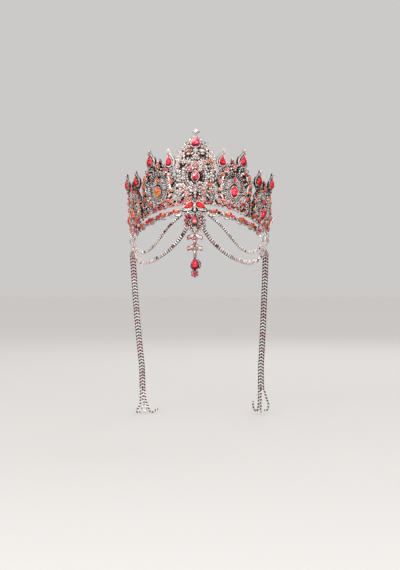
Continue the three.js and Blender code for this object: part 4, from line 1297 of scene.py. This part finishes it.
# ---- Swags ----
# Two bows of chain each side, from the centre to the side links. Domed plated links lie side by
# side, each with an oblong stone glued across it, and grow wider outwards over a dark wire of painted
# shadow.
INNER_ROUTE = [
    (14.6, -11.8, 0), (22, -17, 0), (30, -22.8, 0), (37, -28.8, 0), (44, -34.8, 0),
    (51, -39.8, 0), (58, -43.2, 0), (66, -45, 0), (74, -44.8, 0), (81, -42.8, 0),
    (87.5, -39.4, 0), (92.4, -35.6, 0.4), (96, -31.6, 0.8), (98.9, -27.2, 1.5),
]
OUTER_ROUTE = [
    (8.9, -25.8, 0), (13, -32.2, 0), (19, -39.4, 0), (27, -46, 0), (35, -50.8, 0),
    (44, -54.4, 0), (54, -56.6, 0), (64, -57.2, 0), (74, -56.4, 0), (83, -54, 0),
    (91, -50, 0), (97.6, -44.6, 0.5), (103, -37.6, 1.2), (107.3, -29.3, 2),
]
chain_silver = silver("cup_chain_silver", (0.95, 0.86, 0.84), (0.012, 0.008, 0.008), *ALWAYS_PROUD,
                      metallic=0.75)
# A near-black metal for the wires laid under the chains: painted shadow in the gaps between links.
chain_shadow = silver("chain_shadow", (0.05, 0.035, 0.035), (0.012, 0.008, 0.008), *ALWAYS_PROUD)


CHAIN_TONES = [(1, 1, 1), (1, 1, 1), (1, 0.84, 0.84), (0.85, 0.8, 0.8)]
CHAIN_SHADES = ["clear"] * 10 + ["blush"] * 4 + ["garnet"]


def chain(metal, stones, steps, full, pitch, side):
    """Domed links side by side along even steps, each with an oblong stone across it."""
    for n, (spot, way, across) in enumerate(steps):
        wide = full * (0.76 + 0.32 * n / len(steps))
        turn = Matrix((way, across, way.cross(across))).transposed().to_4x4()
        here = Matrix.Translation(spot) @ turn
        link = placed((0, 0, 0), 0, (pitch * 0.56, wide * 0.52, wide * 0.44))
        metal.lay(BALL, here @ link, side, chance.choice(CHAIN_TONES))
        slot, base = COLOURS[chance.choice(CHAIN_SHADES)]
        nod = Matrix.Rotation(-0.15 + chance.uniform(-0.14, 0.14), 4, "X")
        seat = here @ placed((0, 0, wide * 0.35), 0, (pitch * 0.34, wide * 0.44, 0.7)) @ nod
        stones.setdefault(slot, Heap())
        stones[slot].lay(SMALL_STONE, seat, side, facet_tints(base, len(SMALL_STONE[1])))
        for hand in (-1, 1):
            prong = placed((0, hand * wide * 0.47, wide * 0.27), 0, (0.3, 0.3, 0.35))
            metal.lay(BEAD, here @ prong, side)


SWAGS = {
    "swag_inner": (INNER_ROUTE, 3.5, 2.6),
    "swag_outer": (OUTER_ROUTE, 5.2, 2.75),
}
for swag_name, (route, wide, pitch) in SWAGS.items():
    path = flowing(route, 6)
    for side_name, side in SIDES.items():
        metal = Heap()
        stones = {}
        chain(metal, stones, paces(path, pitch), wide, pitch, side)
        node = f"{swag_name}_{side_name}"
        settle(metal.piece(f"{node}_cups", chain_silver, crease=CREASE), "silver_chain", node)
        shadow_wire = Heap()
        shadow_wire.lay(wire(path, wide * 0.4, flat=0.7), side=side)
        settle(shadow_wire.piece(f"{node}_core", chain_shadow), "silver_chain", node)
        for slot, heap in stones.items():
            settle(heap.piece(f"{node}_{slot}s", GLASS[slot]), slot, node)


# ---- Side links, jump rings and tassel caps ----
# Long links hang from the eyes under the rim. The back one carries a jump ring and the tassel's
# cap, a flattened bell pressed over the heads of the three strands.
LINK_WIDE = 6.2
LINK_HIGH = 12
LINK_WIRE = 0.6
GAP = 0.3
JUMP_RING = 2.6
JUMP_WIRE = 0.55
CAP_EYE = 1.5
CAP_WIRE = 0.6
CAP_HIGH = 5.4
CAP_HALF = 3.8
CAP_FLAT = 0.6
CAP_TONE = (0.5, 0.36, 0.38)
CAP_RIBS = (1.2, 1.6, 1.8)
RIB_TONE = (1, 0.8, 0.84)


def turned(profile, steps, closed=False):
    """A part turned about its own axis from a profile of reaches and heights."""
    bm = bmesh.new()
    verts = [bm.verts.new((reach, 0, up)) for reach, up in profile]
    pairs = zip(verts, verts[1:] + verts[:closed])
    edges = [bm.edges.new(pair) for pair in pairs]
    bmesh.ops.spin(bm, geom=verts + edges, cent=(0, 0, 0), axis=(0, 0, 1), angle=2 * pi,
                   steps=steps, use_merge=True)
    return taken(bm)


def link_top(along):
    slack = EYE_RING - EYE_WIRE - LINK_WIRE - GAP
    return rim_spot(along, EYE_BELOW) - Vector((0, 0, slack))


link_foot = link_top(LINKS_AT["back"]) - Vector((0, 0, LINK_HIGH))
ring_middle = link_foot.z + LINK_WIRE + JUMP_WIRE + GAP - JUMP_RING
eye_middle = ring_middle - JUMP_RING + JUMP_WIRE + CAP_WIRE + GAP - CAP_EYE
tassel_top = eye_middle - CAP_EYE - 0.1
BELL = turned([
    (0, 0.1), (1.2, 0), (1.6, -0.8), (CAP_HALF * 0.6, -1.9), (CAP_HALF * 0.8, -2.8),
    (CAP_HALF * 0.92, -3.1), (CAP_HALF * 0.84, -3.5), (CAP_HALF * 0.94, -4.6), (CAP_HALF, -4.8),
    (CAP_HALF, -CAP_HIGH), (CAP_HALF * 0.88, -CAP_HIGH), (CAP_HALF * 0.84, -4.8), (0, -4.6),
], 32)

for side_name, side in SIDES.items():
    for place_name, along in LINKS_AT.items():
        top = link_top(along)
        reach = Vector((top.x, top.y, 0)).normalized()
        turns = [2 * pi * n / 28 for n in range(28)]
        path = [top + reach * LINK_WIDE / 2 * sin(a) + Vector((0, 0, LINK_HIGH / 2 * (cos(a) - 1)))
                for a in turns]
        link = Heap()
        link.lay(wire(path, LINK_WIRE, closed=True, front=OUT.cross(reach)), side=side)
        node = f"side_link_{place_name}_{side_name}"
        settle(link.piece(f"{node}_wire", drawn_silver, as_hung, CREASE), "silver", node)
    jump = Heap()
    place = Matrix.Translation((link_foot.x, link_foot.y, ring_middle))
    jump.lay(ring(JUMP_RING, JUMP_WIRE), place @ EDGEWAYS, side)
    node = f"tassel_ring_{side_name}"
    settle(jump.piece(f"{node}_wire", drawn_silver, as_hung, CREASE), "silver", node)

    cap = Heap()
    place = Matrix.Translation((link_foot.x, link_foot.y, tassel_top))
    cap.lay(BELL, place @ Matrix.Diagonal((1, CAP_FLAT, 1, 1)), side, CAP_TONE)
    eye = Matrix.Translation((link_foot.x, link_foot.y, eye_middle)) @ UPRIGHT
    cap.lay(ring(CAP_EYE, CAP_WIRE), eye, side)
    for level, reach in enumerate(CAP_RIBS):
        for hand in (-1, 1):
            for face in (-1, 1):
                deep = face * CAP_HALF * CAP_FLAT * 0.8
                spot = (link_foot.x + hand * reach, link_foot.y + deep, tassel_top - 2.6 - 1.2 * level)
                rib = Matrix.Translation(spot) @ Matrix.Rotation(hand * radians(-40), 4, "Y")
                cap.lay(BALL, rib @ Matrix.Diagonal((1.9, 0.9, 0.45, 1)), side, RIB_TONE)
    node = f"tassel_cap_{side_name}"
    settle(cap.piece(f"{node}_bell", drawn_silver, as_hung, CREASE), "silver", node)


# ---- Tassels ----
# Three strands of foxtail chain hang side by side from each cap. The links lean left and right in
# turn, like a braid, and the loose ends curl; the left tassel keeps an open clasp ring.
STRAND = 0.95
STRAND_TIP = 0.8
TASSEL_LEAN = {"right": 6.5, "left": 13}
TASSEL_BEND = -172
STRAND_ENDS = {
    "right": [
        [(72.7, -183), (74.2, -188), (76.4, -195.4), (78.6, -202.6), (77.4, -208.4), (73.8, -209.6)],
        [(70.1, -186), (70, -198), (70, -211.6)],
        [(67.8, -185), (67.6, -196), (67.2, -205.4), (65.4, -210), (62.6, -208.2), (61.4, -203.6),
         (61.6, -199.2)],
    ],
    "left": [
        [(66.6, -186), (66.6, -196), (67, -203.4), (68.2, -206.4), (70.2, -209.6), (70.6, -211.8),
         (68.8, -212.6), (67, -212.2)],
        [(64.3, -186), (63.8, -196), (62.4, -204.7)],
        [(62, -186), (61.2, -196), (59.2, -203), (57.4, -208), (55.8, -211.4), (53, -212.2),
         (49.8, -210.4), (46.8, -208.4)],
    ],
}
tassel_silver = silver("foxtail_silver", (1.0, 0.95, 0.94), (0.012, 0.012, 0.014), *ALWAYS_PROUD,
                       metallic=0.2)
LINK_SIZES = {"right": (0.72, 2.25, 0.85), "left": (0.86, 2.3, 0.9)}
HIDDEN_LINK = (0.5, 1.3, 0.45)
# Tones for the middle strand's links where they hang behind the other two: painted shade.
HIDDEN_SHADE_TONES = {"right": (0.12, 0.08, 0.09), "left": (0.5, 0.42, 0.45)}
LINK_PITCH = 3.5
STRAND_SHADOW_HALF = 1.13
SHADOW_WIRE_FLAT = 0.25
LINK_LEAN = radians(52)
LINK_TIP = radians(20)
LINK_TONES = {
    "right": [(1, 0.97, 0.96)] * 5 + [(1, 0.86, 0.86), (1, 0.5, 0.55)],
    "left": [(1, 0.97, 0.96)] * 5 + [(0.9, 0.94, 1), (1, 0.62, 0.7)],
}


def strand_route(n, end, lean):
    """A strand's way down: it leans a little at first, then its loose end curls."""
    spread = (1 - n) * (2 * STRAND + GAP)
    stops = 12
    start = tassel_top - CAP_HIGH - GAP
    points = []
    for stop in range(stops):
        t = stop / stops
        x = link_foot.x + spread - lean * t * (0.6 + 0.3 * t)
        points.append((x, link_foot.y, start + (TASSEL_BEND - start) * t))
    return points + [(x, link_foot.y, z) for x, z in end]


FACING = Vector((0, -1, 0))
PARTING = -186
OUTER_SPREAD = 0.85
PINK_TO = -58
PINK_TONE = (1, 0.7, 0.77)
for side_name, side in SIDES.items():
    for n, end in enumerate(STRAND_ENDS[side_name]):
        strand = Heap()
        path = flowing(strand_route(n, end, TASSEL_LEAN[side_name]), 6)
        steps = paces(path, LINK_PITCH)
        for count, (spot, way, _) in enumerate(steps):
            across = way.cross(FACING).normalized()
            turn = Matrix((across, way, across.cross(way))).transposed().to_4x4()
            hand = (1, 1 if count % 2 else -1, -1)[n]
            size, tone = LINK_SIZES[side_name], chance.choice(LINK_TONES[side_name])
            if side < 0 and spot.z > PINK_TO:
                tone = PINK_TONE
            if spot.z > PARTING:
                if n == 1:
                    size, tone = HIDDEN_LINK, HIDDEN_SHADE_TONES[side_name]
                else:
                    spot = spot + across * OUTER_SPREAD * hand
            tip = Matrix.Rotation(LINK_TIP, 4, "Y") @ Matrix.Diagonal((*size, 1))
            link_place = Matrix.Translation(spot) @ turn @ placed((0, 0, 0), hand * LINK_LEAN)
            strand.lay(BALL, link_place @ tip, side, tone)
        strand.lay(BALL, placed(steps[-1][0], 0, STRAND_TIP), side)
        node = f"tassel_strand_{side_name}_{n + 1}"
        settle(strand.piece(f"{node}_links", tassel_silver, as_hung, CREASE), "silver_chain", node)
        # A dark flat wire through each strand: painted shadow between its links.
        shadow_wire = Heap()
        shadow_wire.lay(wire(path, STRAND_SHADOW_HALF, sides=6, flat=SHADOW_WIRE_FLAT, front=FACING), side=side)
        settle(shadow_wire.piece(f"{node}_core", chain_shadow, as_hung), "silver_chain", node)
CLASP_RING = 2.7
CLASP_WIRE = 0.8
clasp = Heap()
place = Matrix.Translation((-62.4, link_foot.y, -208.6)) @ UPRIGHT
clasp.lay(ring(CLASP_RING, CLASP_WIRE, stops=24), place)
settle(clasp.piece("clasp_ring_wire", drawn_silver, as_hung, CREASE), "silver",
       "tassel_clasp_ring_left")


# ---- Pendant top ----
# A red pear, point up, in a frame of small pink and clear flowers; it is fixed under the bow and
# has two legs with a pin between them for the drop.
PENDANT_BACK = -78.6
HINGE_OUT = 1.1
HINGE_Z = -10.4


def as_pendant(spot):
    """The pendant hangs plumb: x stays, up is up, and outwards is to the front."""
    return Vector((spot[0], PENDANT_BACK - spot[2], spot[1])) * MM


def off_pendant(point):
    return Vector((point.x / MM, point.z / MM, PENDANT_BACK - point.y / MM))


PENDANT_NOD = 0.14
PENDANT_EDGE = [(0.2, -4.6), (1.2, -9), (5.8, -9), (9, -5), (11, -1), (10.6, 7), (7, 8.6), (0.2, 9.4)]
pendant = Setting(nod=PENDANT_NOD)
pendant.large("pear", 0, 2.6, 7.6, 10.8, claws=5)
pendant.small(0, 9.0, 2.2, "blush", 1.8)
for side in SIDES.values():
    pendant.side = side
    pendant.bloom(7.6, 5.4, 7.2, 5, "rose" if side < 0 else "blush", "magenta", 0.2, 2.0)
    pendant.bloom(8.0, -2.0, 7.2, 5, "pink" if side < 0 else "clear", "rose", 0.6, 2.0)
    pendant.bloom(4.0, -6.4, 5.8, 5, "clear" if side < 0 else "pink", "red", 0.3, 1.9)
    pendant.rod([(2.0, 8.0), (5.6, 6.4), (6.0, 1.0), (4.6, -5)], 0.7, 1.0, 0.8)
    pendant.strap(flowing([(5.4, -4.4), (2.6, -3.8), (0, -3.6)]), 0.9)
    pendant.leaf(4.2, 8.4, 2.2, 4.6, 1.0, 1.3, 1.2)
    pendant.leaf(8.4, -6.8, 2.2, 4.6, 0.5, 1.3, 1.2)
    pendant.leaf(1.5, -8.6, 1.9, 4.4, 0.2, 1.3, 1.2)
    for s, h, shade in ((5.0, -9.8, "clear"), (10.9, 1.7, "rose"), (4.9, 1.8, "clear"),
                        (3.4, 6.4, "blush"), (10.8, 8.2, "clear"), (11.4, -4.6, "clear")):
        pendant.small(s, h, 1.9, shade, 1.8)
    pendant.rod([(2.3, -5), (2.3, -8), (2.3, -11.2)], 0.55, 1.1, 0.95)
    pendant.ball(2.5, HINGE_Z, 0.85, HINGE_OUT)
pendant.side = 1
pendant.rod([(-2.5, HINGE_Z), (0, HINGE_Z), (2.5, HINGE_Z)], 0.55, HINGE_OUT, 0.98)
for side in SIDES.values():
    pendant.side = side
    pendant.speckle(PENDANT_EDGE, 1.3)
pendant.pieces("pendant_top", "pendant_top", bend=as_pendant)
backplate("pendant_top", off_pendant, as_pendant)
large_stone("pendant_pear", "pear", 0, 2.6, 7.6, 10.8, 0, "rose",
            bend=as_pendant, lower_flash="pink", foot=1)


# ---- Drop ----
# Two trefoils of clear and pink stones, a bail, a red pear and a six-petal star. The whole drop
# swings on the pendant's pin by the eye at its top.
drop = Setting(nod=PENDANT_NOD)
EYE_HOLE = 0.95
EYE_OUT = 2.0
EYE_HALF = 0.8
hinge_eye = turned([
    (EYE_HOLE, -EYE_HALF * 0.7), (1.2, -EYE_HALF), (1.75, -EYE_HALF), (EYE_OUT, -EYE_HALF * 0.6),
    (EYE_OUT, EYE_HALF * 0.6), (1.75, EYE_HALF), (1.2, EYE_HALF), (EYE_HOLE, EYE_HALF * 0.7),
], 24, closed=True)
drop.metal.lay(hinge_eye, Matrix.Translation((0, HINGE_Z, HINGE_OUT)) @ EDGEWAYS)
drop.rod([(0, HINGE_Z - 1.8), (0, -13.6), (0, -15.6)], 0.75, 1.1, 0.95)
# Each trefoil's petals on one side: across in sizes, up, turn, half width and half height.
TREFOIL = [
    (0.6, 2.0, 0.6, (2.5, 3.3)),
    (1.25, -0.3, 1.7, (2.4, 3.1)),
]
for z, size, shade, tip_shade in ((-16.4, 4.3, "blush", "pink"), (-28, 4.2, "blush", "blush")):
    for side in SIDES.values():
        drop.side = side
        for reach, lift, lie, petal in TREFOIL:
            spot = (size * reach, z + lift)
            low_petal = lift < 0 and side < 0
            drop.stone(PETAL, "pink" if low_petal else shade, *spot, 2.0, lie, (*petal, 1.3))
            cup = [half_size + 0.25 for half_size in petal]
            drop.put(PETAL_CUP, *spot, 0.4, lie, (*cup, 1.7))
        drop.small(size * 0.55, z - 1.8, 1.9, "pink", 2.4)
        drop.small(size * 1.7, z - 2.2, 1.7, "rose", 1.8)
    drop.side = 1
    drop.claim(0, z, 9, 3)
    drop.gem("round", 0, z - 0.2, 2.4, colour=tip_shade, claws=3)
    drop.gem("pear", 0, z - size * 1.15, size, size * 1.35, pi, tip_shade, claws=3)
    drop.small(0, z + 2.8, 2.0, "blush", 2.0)
drop.rod([(0, -19.6), (0, -24), (0, -28)], 0.9, 1.0, 0.9)
drop.crescent([(0, -33.8), (0.2, -36.2), (0, -39.6)], 3.0)
drop.rod([(0, -31), (0, -36), (0, -40)], 0.9, 0.8, 0.9)
drop.large("pear", 0, -44.8, 9.4, 12.8, claws=5)
drop.crescent([(3.0, -40.4), (5.6, -45.0), (4.6, -50.2)], 2.2)
drop.rod([(0, -50), (0, -52), (0, -54)], 0.8, 1.0, 0.9)
drop.small(1.9, -51.6, 1.5, "clear", 1.6)
drop.small(-1.9, -51.6, 1.5, "clear", 1.6)
drop.bloom(0, -55.6, 8.2, 6, "rose", "red")
drop.pieces("drop", "drop_mount", bend=as_pendant, body="drop")
large_stone("drop_pear", "pear", 0, -44.8, 9.4, 12.8, 0, "red",
            bend=as_pendant, body="drop")


# ---- Studio ----
# A plain pale floor under a pale sky, a large soft lamp above on the left, a smaller one on the
# right, and small hard lamps that make the stones sparkle.
FLOOR_Z = -0.2135
PALE = (0.60, 0.59, 0.58, 1)
floor_mesh = bpy.data.meshes.new("floor")
bm = bmesh.new()
bmesh.ops.create_circle(bm, cap_ends=True, segments=64, radius=12)
bm.to_mesh(floor_mesh)
bm.free()
floor = shown("floor", floor_mesh)
floor.location.z = FLOOR_Z
pale = bpy.data.materials.new("pale_floor")
pale.use_nodes = True
pale.node_tree.nodes["Principled BSDF"].inputs["Base Color"].default_value = PALE
pale.node_tree.nodes["Principled BSDF"].inputs["Roughness"].default_value = 0.9
floor_mesh.materials.append(pale)

world = bpy.data.worlds.new("pale_studio")
world.use_nodes = True
tree = world.node_tree
sky = tree.nodes["Background"]
way = add(tree, "TexCoord", {}).outputs["Generated"]
height = add(tree, "SeparateXYZ", {"Vector": way}).outputs["Z"]
room = add(tree, "ValToRGB", {"Fac": height})
low_wall, high_wall = room.color_ramp.elements
low_wall.position, high_wall.position = 0.06, 0.4
low_wall.color, high_wall.color = (0.16, 0.155, 0.155, 1), (1.0, 0.98, 0.96, 1)
tree.links.new(room.outputs["Color"], sky.inputs["Color"])
backdrop = add(tree, "Background", {"Color": PALE}).outputs["Background"]
seen = add(tree, "LightPath", {}).outputs["Is Camera Ray"]
either = add(tree, "MixShader", {"Fac": seen, 1: sky.outputs["Background"], 2: backdrop})
tree.links.new(either.outputs["Shader"], tree.nodes["World Output"].inputs["Surface"])
bpy.context.scene.world = world
bpy.context.scene.view_settings.view_transform = "Standard"


def lamp(name, spot, size, power, colour=(1, 1, 1)):
    """A round soft lamp, turned to the crown's middle."""
    data = bpy.data.lights.new(name, "AREA")
    data.shape = "DISK"
    data.size = size
    data.energy = power
    data.color = colour
    made = shown(name, data)
    made.location = spot
    made.rotation_euler = (MIDDLE - Vector(spot)).to_track_quat("-Z", "Y").to_euler()


MIDDLE = Vector((0, -0.03, 0))
lamp("key", (-0.75, -1.25, 0.75), 1.2, 7, (1, 0.98, 0.96))
lamp("fill", (1.1, -1.0, 0.35), 0.9, 3.4, (0.97, 0.98, 1))
lamp("front", (0.2, -1.35, 0.5), 0.8, 1.5)
lamp("low_front", (-0.1, -1.3, 0.06), 0.6, 1.1)
lamp("back", (0.3, 1.1, 0.9), 0.8, 4)
GLINTS = [(-0.35, -1.4, 0.25), (0.5, -1.2, 0.7), (0.1, -1.3, -0.1), (-1.2, -0.5, 0.4), (0.9, -1.1, 0)]
for n, spot in enumerate(GLINTS):
    lamp(f"glint_{n}", spot, 0.05, 0.3)

CAMERA_TURN = radians(4)
CAMERA_FAR = 1.25
CAMERA_Z = -0.0679
camera = shown("camera", bpy.data.cameras.new("camera"))
camera.data.sensor_width = 36
camera.data.lens = 68.65
camera.location = (CAMERA_FAR * sin(CAMERA_TURN), -CAMERA_FAR * cos(CAMERA_TURN), CAMERA_Z)
camera.rotation_euler = (pi / 2, 0, CAMERA_TURN)
bpy.context.scene.camera = camera
